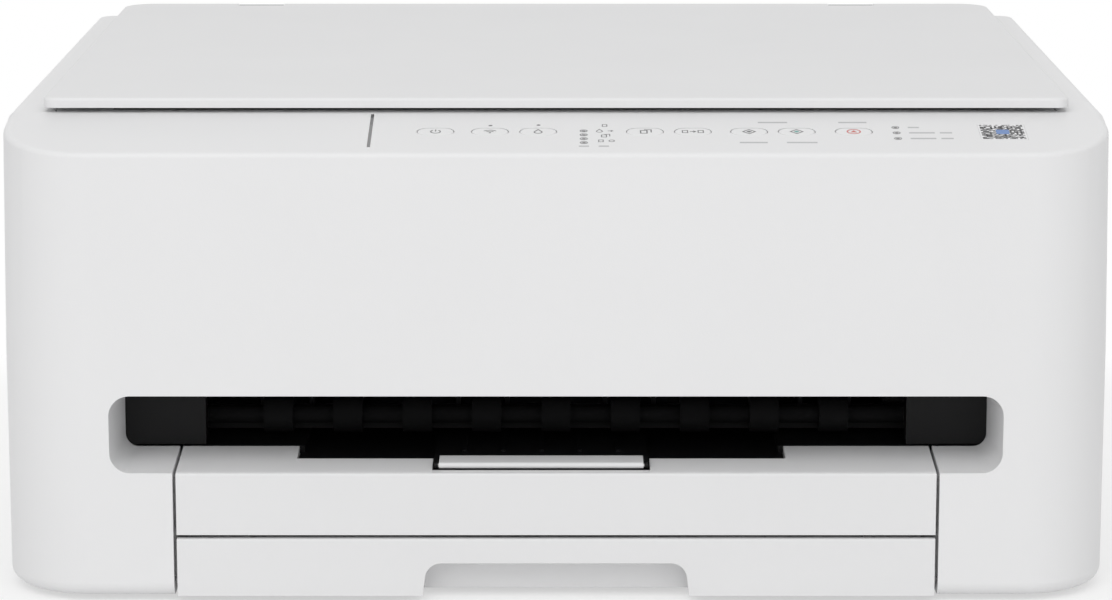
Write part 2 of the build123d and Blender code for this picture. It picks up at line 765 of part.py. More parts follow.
def outlet_bezel():
    """Black frame at the back of the recess, with the paper outlet through it."""
    shrink = RECESS_D * math.tan(math.radians(RECESS_DRAFT))
    half = RECESS_W / 2 - shrink
    low = RECESS_LOW_Z + shrink
    top = RECESS_TOP_Z - shrink
    back = BACK_OF_RECESS
    plate = block(-half - WALL, half + WALL, back, back + BEZEL_T, low + BEZEL_LIFT, top + WALL)
    flange = block(-OUTLET_W / 2 - BEZEL_T, OUTLET_W / 2 + BEZEL_T, back, back + BEZEL_FLANGE,
                   low + BEZEL_LIFT, OUTLET_TOP_Z + BEZEL_T)
    way = block(-OUTLET_W / 2, OUTLET_W / 2, back - OVER, back + BEZEL_FLANGE + OVER, low - OVER,
                OUTLET_TOP_Z)
    return plate + flange - way


def status_light():
    """Thin light bar up the panel."""
    start, end = BAR_START + LABEL_GAP, BAR_END - LABEL_GAP
    bar = Box(BAR_W - 2 * BAR_GAP, end - start, LIGHT_DEPTH)
    return on_panel(BAR_X, (start + end) / 2, -LIGHT_DEPTH / 2) * bar


def panel_lamps():
    """Small round lights on the panel."""
    return [lamp(x, along, LAMP_R - BAR_GAP) for x, along in LAMP_PLACES]


def code_label():
    """Square label, sunk level with the panel."""
    return on_panel(LABEL_X, LABEL_ALONG, -LABEL_T / 4) * Box(LABEL_SIZE, LABEL_SIZE, LABEL_T / 2)


# Drawers: the paper cassette below and the output tray above it

def gear_outline(teeth, module, phase):
    """A slender-toothed gear outline about the origin, with one tooth at the phase angle."""
    pitch_r = teeth * module / 2
    root_r = pitch_r - 1.15 * module
    tip_r = pitch_r + 0.8 * module
    step = 360.0 / teeth
    points = []
    for tooth in range(teeth):
        middle = phase + tooth * step
        for radius, share in ((root_r, -0.27), (tip_r, -0.09), (tip_r, 0.09), (root_r, 0.27)):
            angle = math.radians(middle + share * step)
            points.append((radius * math.cos(angle), radius * math.sin(angle)))
    return make_face(Polyline(*points, close=True))


def meshed_phase(direction, phase, teeth, mate_teeth):
    """The tooth angle that puts a mating gear's gap on this gear's tooth."""
    return direction + 180 - (phase - direction) * teeth / mate_teeth + 180 / mate_teeth


def cassette_tub():
    """Open tray that holds the paper stack."""
    outer = block(-CASSETTE_TUB_HALF, CASSETTE_TUB_HALF, CASSETTE_FRONT,
                  FRONT_Y + CASSETTE_L, CASSETTE_LOW, CASSETTE_RIM)
    hollow = block(-CASSETTE_TUB_HALF + CASSETTE_WALL, CASSETTE_TUB_HALF - CASSETTE_WALL,
                   CASSETTE_FRONT + CASSETTE_WALL,
                   FRONT_Y + CASSETTE_L - CASSETTE_WALL, CASSETTE_LOW + CASSETTE_WALL, CASSETTE_RIM + OVER)
    tub = outer - hollow
    for x in (-LIFT_EAR_X, LIFT_EAR_X):
        ear = block(x - EAR_HALF, x + EAR_HALF, LIFT_NEAR - EAR_REACH, LIFT_NEAR + EAR_REACH,
                    CASSETTE_LOW + CASSETTE_WALL / 2, LIFT_LOW + 2 * LIFT_PIN_R + 2 * OVER)
        start, end = x - 2 * EAR_HALF, x + 2 * EAR_HALF
        tub += ear - rod("X", start, end, LIFT_NEAR, LIFT_LOW + LIFT_PIN_R, LIFT_PIN_R + FIT)
    pin_base = CASSETTE_LOW + CASSETTE_WALL / 2
    pin_top = CASSETTE_LOW + CASSETTE_WALL + RUN_GAP + RACK_H
    return tub + rod("Z", pin_base, pin_top, 0, GUIDE_PINION_Y, GUIDE_PIN_R)


def cassette_front():
    """Lower drawer front with its finger recess."""
    half = DRAWER_W / 2
    front = block(-half, half, FRONT_Y, FRONT_Y + FRONT_T, FOOT_H + FRONT_LIFT, CASSETTE_TOP_Z)
    pocket = block(-HANDLE_W / 2 - FRONT_T, HANDLE_W / 2 + FRONT_T, FRONT_Y, FRONT_Y + HANDLE_D + FRONT_T,
                   FOOT_H + POCKET_LIFT, HANDLE_TOP_Z + FRONT_T)
    mouth = Plane.XZ * Trapezoid(HANDLE_W + HANDLE_FLARE, 2 * (HANDLE_TOP_Z - FOOT_H), HANDLE_ANGLE)
    mouth = fillet(mouth.vertices().group_by(Axis.Z)[-1], HANDLE_R)
    hollow = Pos(0, FRONT_Y - OVER, FOOT_H) * extrude(mouth, -(HANDLE_D + OVER))
    front = (front + pocket) - hollow
    for side in (-1, 1):
        x = side * (CASSETTE_TUB_HALF - LUG_INSET)
        front += block(x - LUG_HALF, x + LUG_HALF, FRONT_Y + FRONT_T, CASSETTE_FRONT,
                       CASSETTE_LOW + LUG_LIFT, CASSETTE_RIM)
    edge = front.edges().filter_by(Axis.X).group_by(Axis.Y)[0].group_by(Axis.Z)[-1]
    return fillet(edge, FRONT_EDGE_R)


def lift_plate():
    """Plate under the far end of the stack that lifts the paper to the roller."""
    plate = block(-LIFT_HALF, LIFT_HALF, LIFT_NEAR, LIFT_NEAR + LIFT_L, LIFT_LOW + LIFT_GAP,
                  LIFT_LOW + LIFT_GAP + LIFT_T)
    reach = LIFT_EAR_X + EAR_HALF + FRONT_LIFT + LIFT_GAP
    return plate + rod("X", -reach, reach, LIFT_NEAR, LIFT_LOW + LIFT_PIN_R, LIFT_PIN_R)


def side_guide(side):
    """Upright fence that centres the paper, with its rack reaching to the middle pinion."""
    floor = CASSETTE_LOW + CASSETTE_WALL
    x = side * SIDE_GUIDE_X
    start, end = sorted((x, x + side * FENCE_T))
    fence = block(start, end, FENCE_NEAR, FENCE_FAR, floor + RUN_GAP, CASSETTE_RIM - FENCE_DROP)
    near = GUIDE_MODULE * GUIDE_PINION_TEETH / 2 + RACK_SET
    y0, y1 = sorted((GUIDE_PINION_Y + side * near, GUIDE_PINION_Y + side * (near + RACK_W)))
    start, end = sorted((-side * RACK_END, x))
    rack = block(start, end, y0, y1, floor + RUN_GAP, floor + RUN_GAP + RACK_H)
    near -= RUN_GAP
    far = near + RACK_W + 2 * RUN_GAP
    y0, y1 = sorted((GUIDE_PINION_Y - side * near, GUIDE_PINION_Y - side * far))
    fence -= block(x - 2 * FENCE_T, x + 2 * FENCE_T, y0, y1, floor, floor + RACK_H + 2 * RUN_GAP)
    return fence + rack


def guide_pinion():
    """Small wheel that makes both side guides move alike."""
    floor = CASSETTE_LOW + CASSETTE_WALL
    disc = extrude(gear_outline(GUIDE_PINION_TEETH, GUIDE_MODULE, 0), RACK_H)
    bore = Cylinder(GUIDE_PIN_R + FIT, 3 * RACK_H)
    return Pos(0, GUIDE_PINION_Y, floor + RUN_GAP) * (disc - bore)


def length_guide():
    """Fence that slides to the rear for shorter sheets."""
    floor = CASSETTE_LOW + CASSETTE_WALL + RUN_GAP
    fence = block(-STOP_HALF, STOP_HALF, LENGTH_GUIDE_Y, LENGTH_GUIDE_Y + STOP_T, floor,
                  CASSETTE_RIM - FENCE_DROP)
    return fence + block(-STOP_FOOT_HALF, STOP_FOOT_HALF, LENGTH_GUIDE_Y, LENGTH_GUIDE_Y + STOP_FOOT_L,
                         floor, floor + STOP_FOOT_T)


def shelf_profile():
    """The sloping shelf seen from the side, from the drawer's front to the outlet."""
    start = FRONT_Y + FRONT_T / 2
    z0 = RECESS_LOW_Z + (start - FRONT_Y) * SHELF_SLOPE
    points = [(start, z0), (BACK_OF_RECESS, SHELF_BACK_Z),
              (BACK_OF_RECESS, SHELF_BACK_Z - SHELF_BACK_T), (start, z0 - SHELF_T)]
    return Plane.YZ * make_face(Polyline(*points, close=True))


def tray_wall(side):
    """One side wall of the output tray, with the groove that its runner fits."""
    half = DRAWER_W / 2
    rear = FRONT_Y + TRAY_L
    start, end = sorted((side * half, side * (half - WALL - GROOVE_D)))
    wall = block(start, end, FRONT_Y + FRONT_T / 2, BACK_OF_RECESS, TRAY_LOW, RECESS_LOW_Z - WALL_DROP)
    wall += block(start, end, BACK_OF_RECESS, rear, TRAY_LOW, SHELF_BACK_Z - SHELF_T)
    start, end = sorted((side * (half + OVER), side * (half - GROOVE_D)))
    return wall - block(start, end, FRONT_Y + FRONT_T + GROOVE_START, rear + OVER, GROOVE_Z,
                        GROOVE_Z + GROOVE_H)


def output_tray():
    """Upper drawer: front, sloping shelf, sides and floor, with the notch for the paper support."""
    half = DRAWER_W / 2
    rear = FRONT_Y + TRAY_L
    floor_top = TRAY_LOW + SHELF_T
    front = block(-half, half, FRONT_Y, FRONT_Y + FRONT_T, TRAY_LOW, RECESS_LOW_Z)
    edge = front.edges().filter_by(Axis.X).group_by(Axis.Y)[0].group_by(Axis.Z)[-1]
    tray = fillet(edge, FRONT_EDGE_R) + extrude(shelf_profile(), half, both=True)
    tray += tray_wall(-1) + tray_wall(1)
    tray += block(-half, half, FRONT_Y + FRONT_T / 2, rear, TRAY_LOW, floor_top)
    tray -= block(NOTCH_X0, NOTCH_X1, FRONT_Y + NOTCH_Y, INSERT_Y + OVER, floor_top, DECK_Z)
    slot_x0, slot_x1 = TAB_X0 - TAB_SLOT, TAB_X1 + TAB_SLOT
    near = FRONT_Y + TAB_FRONT - RUN_GAP
    tray -= block(slot_x0, slot_x1, near, FRONT_Y + NOTCH_Y + OVER, floor_top, DECK_Z)
    return tray - block(slot_x0, slot_x1, FRONT_Y - OVER, FRONT_Y + NOTCH_Y, RECESS_LOW_Z, DECK_Z)


def tray_insert():
    """Dark rear part of the tray: its shelf in the outlet and the well of the paper support."""
    half = DRAWER_W / 2
    low = RECESS_LOW_Z - WELL_T
    near = FRONT_Y + NOTCH_Y + RUN_GAP
    x0, x1 = NOTCH_X0 + RUN_GAP, NOTCH_X1 - RUN_GAP
    insert = block(-half, half, INSERT_Y, FRONT_Y + TRAY_L, SHELF_BACK_Z - SHELF_T, SHELF_BACK_Z)
    insert += block(x0, x1, near, WELL_FAR, low, RECESS_LOW_Z)
    insert -= block(x0 + WELL_T, x1 - WELL_T, INSERT_Y - OVER, WELL_FAR - WELL_T, RECESS_LOW_Z, DECK_Z)
    return insert + block(TAB_X0 - TAB_SLOT + RUN_GAP, TAB_X1 + TAB_SLOT - RUN_GAP,
                          FRONT_Y + TAB_FRONT, near + OVER, low, RECESS_LOW_Z)


def paper_support():
    """Dark slide that pulls out to carry long sheets, with two cheeks that hold the tab."""
    x0, x1 = TAB_X0 - RUN_GAP - CHEEK_W, TAB_X1 + RUN_GAP + CHEEK_W
    near = FRONT_Y + NOTCH_Y + RUN_GAP
    slide = block(x0, x1, near, near + SUPPORT_L, SUPPORT_Z, SUPPORT_Z + SUPPORT_T)
    for rib in range(RIB_COUNT):
        x = x0 + RIB_INSET + rib * (x1 - x0 - 2 * RIB_INSET) / (RIB_COUNT - 1)
        slide += block(x - RIB_T / 2, x + RIB_T / 2, near + RIB_NEAR, near + SUPPORT_L, SUPPORT_Z,
                       SUPPORT_Z + SUPPORT_T + RIB_H)
    for x in (x0, x1 - CHEEK_W):
        cheek = block(x, x + CHEEK_W, STOP_AXIS_Y, near + OVER, SUPPORT_Z, SUPPORT_Z + TAB_H)
        cheek += rod("X", x, x + CHEEK_W, STOP_AXIS_Y, STOP_AXIS_Z, TAB_H / 2)
        slide += cheek - rod("X", x - OVER, x + CHEEK_W + OVER, STOP_AXIS_Y, STOP_AXIS_Z, STOP_PIN_R + FIT)
    return slide


def stopper_tab():
    """Tab with a round front edge that tips up to stop the sheets."""
    top = STOP_AXIS_Z + TAB_H / 2
    tab = rod("X", TAB_X0, TAB_X1, STOP_AXIS_Y, STOP_AXIS_Z, TAB_H / 2)
    tab += block(TAB_X0, TAB_X1, STOP_AXIS_Y, FRONT_Y + NOTCH_Y - RUN_GAP, SUPPORT_Z, top)
    reach = RUN_GAP + CHEEK_W
    return tab + rod("X", TAB_X0 - reach, TAB_X1 + reach, STOP_AXIS_Y, STOP_AXIS_Z, STOP_PIN_R)


def drawer_guides():
    """Side walls with the runners that carry the output tray."""
    half = DRAWER_W / 2 + GUIDE_GAP
    wall = block(half, half + GUIDE_T, GUIDE_START, FRONT_Y + CASSETTE_L, FLOOR_Z,
                 RECESS_LOW_Z - GUIDE_DROP)
    runner = block(half - GROOVE_D, half, GUIDE_START + 2 * OVER, FRONT_Y + TRAY_L, GROOVE_Z + RUN_GAP,
                   GROOVE_Z + GROOVE_H - RUN_GAP)
    return both_sides(wall + runner)


# Scanner unit, which swings up about pins at its rear

def scanner_section(low, top, inset):
    """The scanner's closed outline from the side, its rear foot round about the hinge."""
    back = SCAN_BACK - inset
    front = SCAN_FRONT_Y + inset
    knee_r = SCAN_REAR_R - inset
    base = max(low, SCAN_LOW + inset)
    box = Polyline((front, base), (SCAN_HINGE_Y, base), (SCAN_HINGE_Y, SCAN_HINGE_Z),
                   (back, SCAN_HINGE_Z), (back, top), (front, top), close=True)
    section = make_face(box)
    if low < SCAN_HINGE_Z:
        heel = Pos(SCAN_HINGE_Y, SCAN_HINGE_Z) * Circle(knee_r)
        section += heel
    return Plane.YZ * section


def scanner_base():
    """Pan of the scanner, open on top, with the seat for its rail and its hinge pins."""
    body = extrude(scanner_section(SCAN_LOW, SCAN_MID_Z, 0), SCAN_HALF, both=True)
    hollow = extrude(scanner_section(SCAN_LOW, SCAN_MID_Z + 5, SCAN_WALL), SCAN_HALF - SCAN_WALL, both=True)
    pan = body - hollow
    for side in (-1, 1):
        start, end = sorted((side * (SCAN_HALF - OVER), side * (SCAN_HALF + SCAN_PIN_L)))
        pan += rod("X", start, end, SCAN_HINGE_Y, SCAN_HINGE_Z, SCAN_PIN_R)
        start, end = sorted((side * (SCAN_HALF - SCAN_WALL - RAIL_SEAT_L), side * (SCAN_HALF - SCAN_WALL)))
        pan += block(start, end, GLASS_MID_Y - RAIL_SEAT_W / 2, GLASS_MID_Y + RAIL_SEAT_W / 2,
                     SCAN_LOW + SCAN_WALL, RAIL_SEAT_TOP)
    reach = SCAN_HALF - RAIL_END
    pan -= rod("X", -reach, reach, GLASS_MID_Y, SCAN_RAIL_Z, SCAN_RAIL_R + FIT)
    floor = SCAN_LOW + SCAN_WALL
    for x in (-SCAN_PULLEY_X, SCAN_PULLEY_X):
        pan += rod("Z", floor - OVER, floor + PULLEY_PIN_H, x, SCAN_BELT_Y, SCAN_PULLEY_BORE)
    return pan


def scanner_top():
    """Deck of the scanner with the window that holds the glass."""
    low = SCAN_MID_Z
    deck = soft_block(-SCAN_HALF, SCAN_HALF, SCAN_FRONT_Y, DECK_BACK, low, DECK_Z, DECK_R)
    inner = SCAN_HALF - DECK_WALL
    hollow = block(-inner, inner, SCAN_FRONT_Y + DECK_WALL, DECK_BACK - DECK_REAR, low - OVER,
                   DECK_Z - GLASS_T - DECK_SKIN)
    deck -= hollow
    deck -= block(-GLASS_W / 2, GLASS_W / 2, GLASS_Y0, GLASS_Y1, DECK_Z - GLASS_T, DECK_Z + OVER)
    deck -= block(-GLASS_W / 2 + GLASS_LEDGE, GLASS_W / 2 - GLASS_LEDGE, GLASS_Y0 + GLASS_LEDGE,
                  GLASS_Y1 - GLASS_LEDGE, low - OVER, DECK_Z)
    for side in (-1, 1):
        deck -= lift_well(side * LID_HINGE_X)
    return deck


def lift_well(x):
    """The upright shaft in the deck for one lid hinge block."""
    return block(x - LIFT_BLOCK_W / 2 - RUN_GAP, x + LIFT_BLOCK_W / 2 + RUN_GAP,
                 LIFT_Y - LIFT_BLOCK_D / 2 - RUN_GAP, LIFT_Y + LIFT_BLOCK_D / 2 + RUN_GAP,
                 DECK_Z - LIFT_WELL_L, DECK_Z + OVER)


def platen_glass():
    """Pane that the document lies on."""
    return block(-GLASS_W / 2 + GLASS_GAP, GLASS_W / 2 - GLASS_GAP, GLASS_Y0 + GLASS_GAP,
                 GLASS_Y1 - GLASS_GAP, DECK_Z - GLASS_T, DECK_Z - GLASS_DROP)


def scan_rail():
    """Round rail that the scan bar slides on."""
    reach = SCAN_HALF - RAIL_END - RAIL_GAP
    return rod("X", -reach, reach, GLASS_MID_Y, SCAN_RAIL_Z, SCAN_RAIL_R)


def scan_bar():
    """Long sensor bar under the glass, with its slider on the rail."""
    x0, x1 = SCAN_START_X - SCAN_BAR_W / 2, SCAN_START_X + SCAN_BAR_W / 2
    top = SCAN_BAR_LOW + SCAN_BAR_H
    bar = block(x0, x1, GLASS_Y0 + BAR_INSET, GLASS_Y1 - BAR_INSET, SCAN_BAR_LOW, top)
    bar -= block(x0 + BAR_TROUGH, x1 - BAR_TROUGH, GLASS_Y0 + TROUGH_INSET, GLASS_Y1 - TROUGH_INSET,
                 top - TROUGH_D, DECK_Z)
    slider = block(x0 + SCAN_WALL, x1 - SCAN_WALL, GLASS_MID_Y - SLIDER_HALF, GLASS_MID_Y + SLIDER_HALF,
                   SCAN_PULLEY_Z, SCAN_BAR_LOW + OVER / 2)
    return bar + slider - rod("X", x0 - OVER, x1 + OVER, GLASS_MID_Y, SCAN_RAIL_Z, SCAN_RAIL_R + FIT)


def scan_rod_lens():
    """Pale lens strip along the top of the scan bar."""
    top = SCAN_BAR_LOW + SCAN_BAR_H
    return block(SCAN_START_X - LENS_HALF, SCAN_START_X + LENS_HALF, GLASS_Y0 + LENS_INSET,
                 GLASS_Y1 - LENS_INSET, top - TROUGH_D, top - LENS_DROP)


def upright_pulley(x, y, low, height, radius):
    """Small flanged pulley on an upright pin."""
    wheel = rod("Z", low, low + height, x, y, radius)
    for z in (low, low + height - FLANGE_T):
        wheel += rod("Z", z, z + FLANGE_T, x, y, radius + FLANGE_R)
    return wheel


def scan_pulley(x):
    """Pulley of the scanner's belt drive, bored for its pin."""
    low, top = SCAN_PULLEY_Z, SCAN_PULLEY_Z + SCAN_PULLEY_H
    wheel = upright_pulley(x, SCAN_BELT_Y, low, SCAN_PULLEY_H, SCAN_PULLEY_R)
    return wheel - rod("Z", low - OVER, top + OVER, x, SCAN_BELT_Y, SCAN_PULLEY_BORE + FIT)


def belt_loop(plane, length, radius, width, thickness):
    """A toothless belt round two equal pulleys."""
    outer = SlotCenterToCenter(length, 2 * (radius + thickness))
    inner = SlotCenterToCenter(length, 2 * radius)
    return plane * extrude(outer - inner, width / 2, both=True)


def scan_belt():
    """Belt that pulls the scan bar."""
    plane = Plane(origin=(0, SCAN_BELT_Y, SCAN_PULLEY_Z + SCAN_PULLEY_H / 2))
    return belt_loop(plane, 2 * SCAN_PULLEY_X, SCAN_PULLEY_R + RUN_GAP, SCAN_BELT_W, BELT_T)


def hinge_brackets():
    """Bearings in the case that hold the scanner's pins."""
    start = WELL_HALF + PART_GAP
    end = WIDTH / 2 - WALL
    ear = block(start, end, SCAN_HINGE_Y - BRACKET_T, SCAN_HINGE_Y + EAR_BACK, EAR_LOW, EAR_TOP)
    far = start + SCAN_PIN_L + OVER
    ear -= rod("X", start - OVER, far, SCAN_HINGE_Y, SCAN_HINGE_Z, SCAN_PIN_R + FIT)
    return both_sides(ear)


# Document lid on hinge blocks that rise for thick originals

def lid_outline(inset):
    """The lid from above: tight rounds in front, wider ones behind."""
    y0, y1 = FRONT_Y + LID_FRONT + inset, REAR_Y - LID_REAR_GAP - inset
    face = Pos(0, (y0 + y1) / 2) * Rectangle(LID_W - 2 * inset, y1 - y0)
    front = face.vertices().sort_by(Axis.Y)[:2]
    face = fillet(front, LID_FRONT_R - inset * 0.9)
    rear = face.vertices().sort_by(Axis.Y)[-2:]
    return fillet(rear, LID_REAR_R - inset)


def knuckle_notch(x):
    """The gap in the lid's rear edge for one hinge knuckle."""
    return block(x - KNUCKLE_W / 2 - RUN_GAP, x + KNUCKLE_W / 2 + RUN_GAP, LID_HINGE_Y - NOTCH_REACH,
                 REAR_Y, LID_LOW - OVER, LID_LOW + LID_T + OVER)


def lid_shell():
    """Flat lid with a shallow hollow below for its pad."""
    lid = extrude(Pos(0, 0, LID_LOW) * lid_outline(0), LID_T)
    top = lid.edges().group_by(Axis.Z)[-1]
    lid = fillet(top, LID_EDGE_R)
    half = LID_W / 2 - LID_ROOM
    lid -= block(-half, half, FRONT_Y + LID_FRONT + LID_ROOM_FRONT, LID_HINGE_Y - LID_ROOM,
                 LID_LOW - OVER, LID_LOW + LID_T - LID_SKIN)
    for side in (-1, 1):
        x = side * LID_HINGE_X
        lid -= knuckle_notch(x)
        start, end = x - KNUCKLE_W / 2 - LID_BORE_L, x + KNUCKLE_W / 2 + LID_BORE_L
        lid -= rod("X", start, end, LID_HINGE_Y, LID_HINGE_Z, LID_PIN_R + FIT)
    return lid


def lid_pad():
    """White pressure pad under the lid."""
    half = LID_W / 2 - PAD_INSET
    return soft_block(-half, half, FRONT_Y + LID_FRONT + PAD_FRONT, LID_HINGE_Y - PAD_REAR,
                      DECK_Z + RUN_GAP, LID_LOW + LID_T - LID_SKIN, PAD_R)


def lid_hinge_blocks():
    """Two blocks that rise and fall in the deck, each with the lid's knuckle and pin."""
    blocks = []
    for side in (-1, 1):
        x = side * LID_HINGE_X
        stem = block(x - LIFT_BLOCK_W / 2, x + LIFT_BLOCK_W / 2, LIFT_Y - LIFT_BLOCK_D / 2,
                     LIFT_Y + LIFT_BLOCK_D / 2, DECK_Z - LIFT_BLOCK_L, LID_LOW)
        half = KNUCKLE_W / 2 - NECK_INSET
        neck = block(x - half, x + half, LID_HINGE_Y - KNUCKLE_R, LID_HINGE_Y + KNUCKLE_R,
                     LID_LOW - OVER, LID_HINGE_Z)
        knuckle = rod("X", x - KNUCKLE_W / 2, x + KNUCKLE_W / 2, LID_HINGE_Y, LID_HINGE_Z, KNUCKLE_R)
        reach = KNUCKLE_W / 2 + LID_PIN_L
        pin = rod("X", x - reach, x + reach, LID_HINGE_Y, LID_HINGE_Z, LID_PIN_R)
        blocks.append(stem + neck + knuckle + pin)
    return blocks


# Print engine

def engine_frame():
    """Pressed chassis: rear wall and two side plates that hold every shaft."""
    half = SIDE_PLATE_X
    frame = block(-half, half, FRAME_Y, FRAME_Y + PLATE_T, PAPER_Z + FRAME_CLEAR, FRAME_TOP)
    frame += block(-half, half, FRAME_Y, FRAME_Y + FRAME_LIP, FRAME_TOP - PLATE_T, FRAME_TOP)
    for side in (-1, 1):
        start, end = sorted((side * half, side * (half - PLATE_T)))
        frame += block(start, end, SIDE_FRONT, SIDE_BACK, FRAME_LOW, SIDE_TOP)
        start, end = sorted((side * half, side * (half - FRAME_FOOT_X)))
        frame += block(start, end, SIDE_BACK - FRAME_FOOT_D, SIDE_BACK, FLOOR_Z, FRAME_LOW + PLATE_T)
        frame += block(start, end, SIDE_FRONT, SIDE_FRONT + FRAME_TOE_D, FLOOR_Z, FRAME_LOW + PLATE_T)
    reach = half + OVER
    for y, z, radius in ((FEED_Y, ROLLER_Z, SHAFT_R), (EJECT_Y, ROLLER_Z, SHAFT_R),
                         (RAIL_Y, RAIL_Z, RAIL_R), (PICK_AXIS_Y, PICK_PIN_Z, PICK_SHAFT_R)):
        frame -= rod("X", -reach, reach, y, z, radius + FIT)
    frame -= rod("X", -reach, 0, IDLER_Y, ROLLER_Z, SHAFT_R + FIT)
    for x in (-PULLEY_X, PULLEY_X):
        frame += rod("Y", BELT_Y - PULLEY_PIN_L, FRAME_Y + PULLEY_PIN_IN, x, BELT_Z, PULLEY_BORE)
    return frame


def carriage_rail():
    """Polished rail across the machine for the print carriage."""
    return rod("X", -SIDE_PLATE_X - RAIL_OUT, SIDE_PLATE_X + RAIL_OUT, RAIL_Y, RAIL_Z, RAIL_R)


def carriage():
    """Print carriage with two open cartridge wells."""
    x0, x1 = CARRIAGE_X - CARRIAGE_W / 2, CARRIAGE_X + CARRIAGE_W / 2
    head = block(x0, x1, HEAD_FRONT, HEAD_BACK, HEAD_Z, CARRIAGE_TOP_Z - CARRIAGE_RIM)
    back = block(x0, x1, HEAD_BACK - OVER, RAIL_Y + SLIDER_BACK, RAIL_Z - SLIDER_LOW,
                 CARRIAGE_TOP_Z - CARRIAGE_RIM)
    body = head + back
    near = HEAD_FRONT + CARRIAGE_WALL
    for side in (-1, 1):
        middle = CARRIAGE_X + side * CARRIAGE_W / 4
        half = CARRIAGE_W / 4 - CARRIAGE_WALL + CELL_GAP
        body -= block(middle - half, middle + half, near, near + CARTRIDGE_D - WELL_SHORT,
                      HEAD_Z + CARRIAGE_WALL, CARRIAGE_TOP_Z)
    body -= rod("X", x0 - OVER, x1 + OVER, RAIL_Y, RAIL_Z, RAIL_R + FIT)
    return body


def cartridge(side):
    """One ink cartridge, standing in its well."""
    middle = CARRIAGE_X + side * CARRIAGE_W / 4
    half = CARRIAGE_W / 4 - CARRIAGE_WALL
    front = HEAD_FRONT + CARRIAGE_WALL + CELL_GAP
    low = HEAD_Z + CARRIAGE_WALL
    body = soft_block(middle - half, middle + half, front, front + CARTRIDGE_D - CELL_SHORT, low,
                      low + CARTRIDGE_H, CELL_R)
    near, half = front + CELL_GRIP_INSET, half - CELL_GRIP_INSET
    grip = block(middle - half, middle + half, near, near + CELL_GRIP, low + CARTRIDGE_H - CARRIAGE_WALL,
                 low + CARTRIDGE_H - CARRIAGE_WALL + CELL_GRIP)
    return body + grip


def carriage_pulley(x):
    """Belt pulley of the carriage drive, bored for its pin."""
    near, far = BELT_Y - PULLEY_HALF, BELT_Y + PULLEY_HALF
    wheel = rod("Y", near, far, x, BELT_Z, PULLEY_R)
    for y in (near, far - FLANGE_T):
        wheel += rod("Y", y, y + FLANGE_T, x, BELT_Z, PULLEY_R + PULLEY_FLANGE)
    return wheel - rod("Y", near - OVER, far + OVER, x, BELT_Z, PULLEY_BORE + FIT)


def carriage_belt():
    """Belt that pulls the print carriage."""
    plane = Plane(origin=(0, BELT_Y, BELT_Z), x_dir=(1, 0, 0), z_dir=(0, -1, 0))
    return belt_loop(plane, 2 * PULLEY_X, PULLEY_R + RUN_GAP, BELT_W, BELT_T)


def carriage_motor():
    """Motor behind the frame that drives the carriage belt."""
    start = FRAME_Y + PLATE_T
    return rod("Y", start, start + MOTOR_L, PULLEY_X - MOTOR_SHIFT, BELT_Z, MOTOR_R)


def print_platen():
    """Ribbed bed under the print heads."""
    y0, y1 = EJECT_Y + ROLLER_R + PLATEN_GAP, FEED_Y - ROLLER_R - PLATEN_GAP
    bed = block(-PAPER_W / 2 - PLATEN_LEFT, PAPER_W / 2 + PLATEN_RIGHT, y0, y1, PLATEN_LOW, PLATEN_TOP)
    for rib in range(PLATEN_RIBS):
        x = (rib - (PLATEN_RIBS - 1) / 2) * PLATEN_PITCH
        bed += block(x - RIB_T / 2, x + RIB_T / 2, y0, y1, PLATEN_TOP, PAPER_Z - RIB_DROP)
    reach = SIDE_PLATE_X - PLATE_T - RUN_GAP
    bed += block(-reach, reach, y0, y0 + PLATEN_BAR, PLATEN_LOW, PLATEN_TOP)
    return bed


def gear_on_x(teeth, phase):
    """A gear lying across the X axis at the drive side."""
    flat = Plane.YZ * gear_outline(teeth, GEAR_MODULE, phase)
    return Pos(GEAR_X, 0, 0) * extrude(flat, GEAR_W)


def feed_roller():
    """Main roller: coated sleeve on a steel shaft, with its drive gear."""
    shaft = rod("X", SHAFT_END, SIDE_PLATE_X + SHAFT_OUT, 0, 0, SHAFT_R)
    sleeve = rod("X", -PAPER_W / 2 - SLEEVE_OUT, PAPER_W / 2 + SLEEVE_OUT, 0, 0, ROLLER_R)
    return Pos(0, FEED_Y, ROLLER_Z) * (shaft + sleeve + gear_on_x(FEED_TEETH, 180.0))


def idler_gear():
    """Idler between the feed and eject gears, on its own short axle."""
    phase = meshed_phase(180.0, 180.0, FEED_TEETH, IDLER_TEETH)
    axle = rod("X", SHAFT_END, -SIDE_PLATE_X + PLATE_T + SHAFT_OUT, 0, 0, SHAFT_R)
    return Pos(0, IDLER_Y, ROLLER_Z) * (axle + gear_on_x(IDLER_TEETH, phase))


def eject_roller():
    """Outlet roller: rubber rings on a shaft, driven by its gear."""
    idler_phase = meshed_phase(180.0, 180.0, FEED_TEETH, IDLER_TEETH)
    phase = meshed_phase(180.0, idler_phase, IDLER_TEETH, EJECT_TEETH)
    shaft = rod("X", SHAFT_END, SIDE_PLATE_X + SHAFT_OUT, 0, 0, SHAFT_R)
    for x in STAR_XS:
        shaft += rod("X", x - RING_HALF, x + RING_HALF, 0, 0, ROLLER_R)
    return Pos(0, EJECT_Y, ROLLER_Z) * (shaft + gear_on_x(EJECT_TEETH, phase))


def motor_pinion():
    """Small gear on the feed motor's shaft."""
    phase = meshed_phase(PINION_ANGLE, 180.0, FEED_TEETH, PINION_TEETH)
    axle = rod("X", GEAR_X, -SIDE_PLATE_X + PINION_AXLE_IN, 0, 0, PINION_AXLE_R)
    return Pos(0, PINION_Y, PINION_Z) * (axle + gear_on_x(PINION_TEETH, phase))


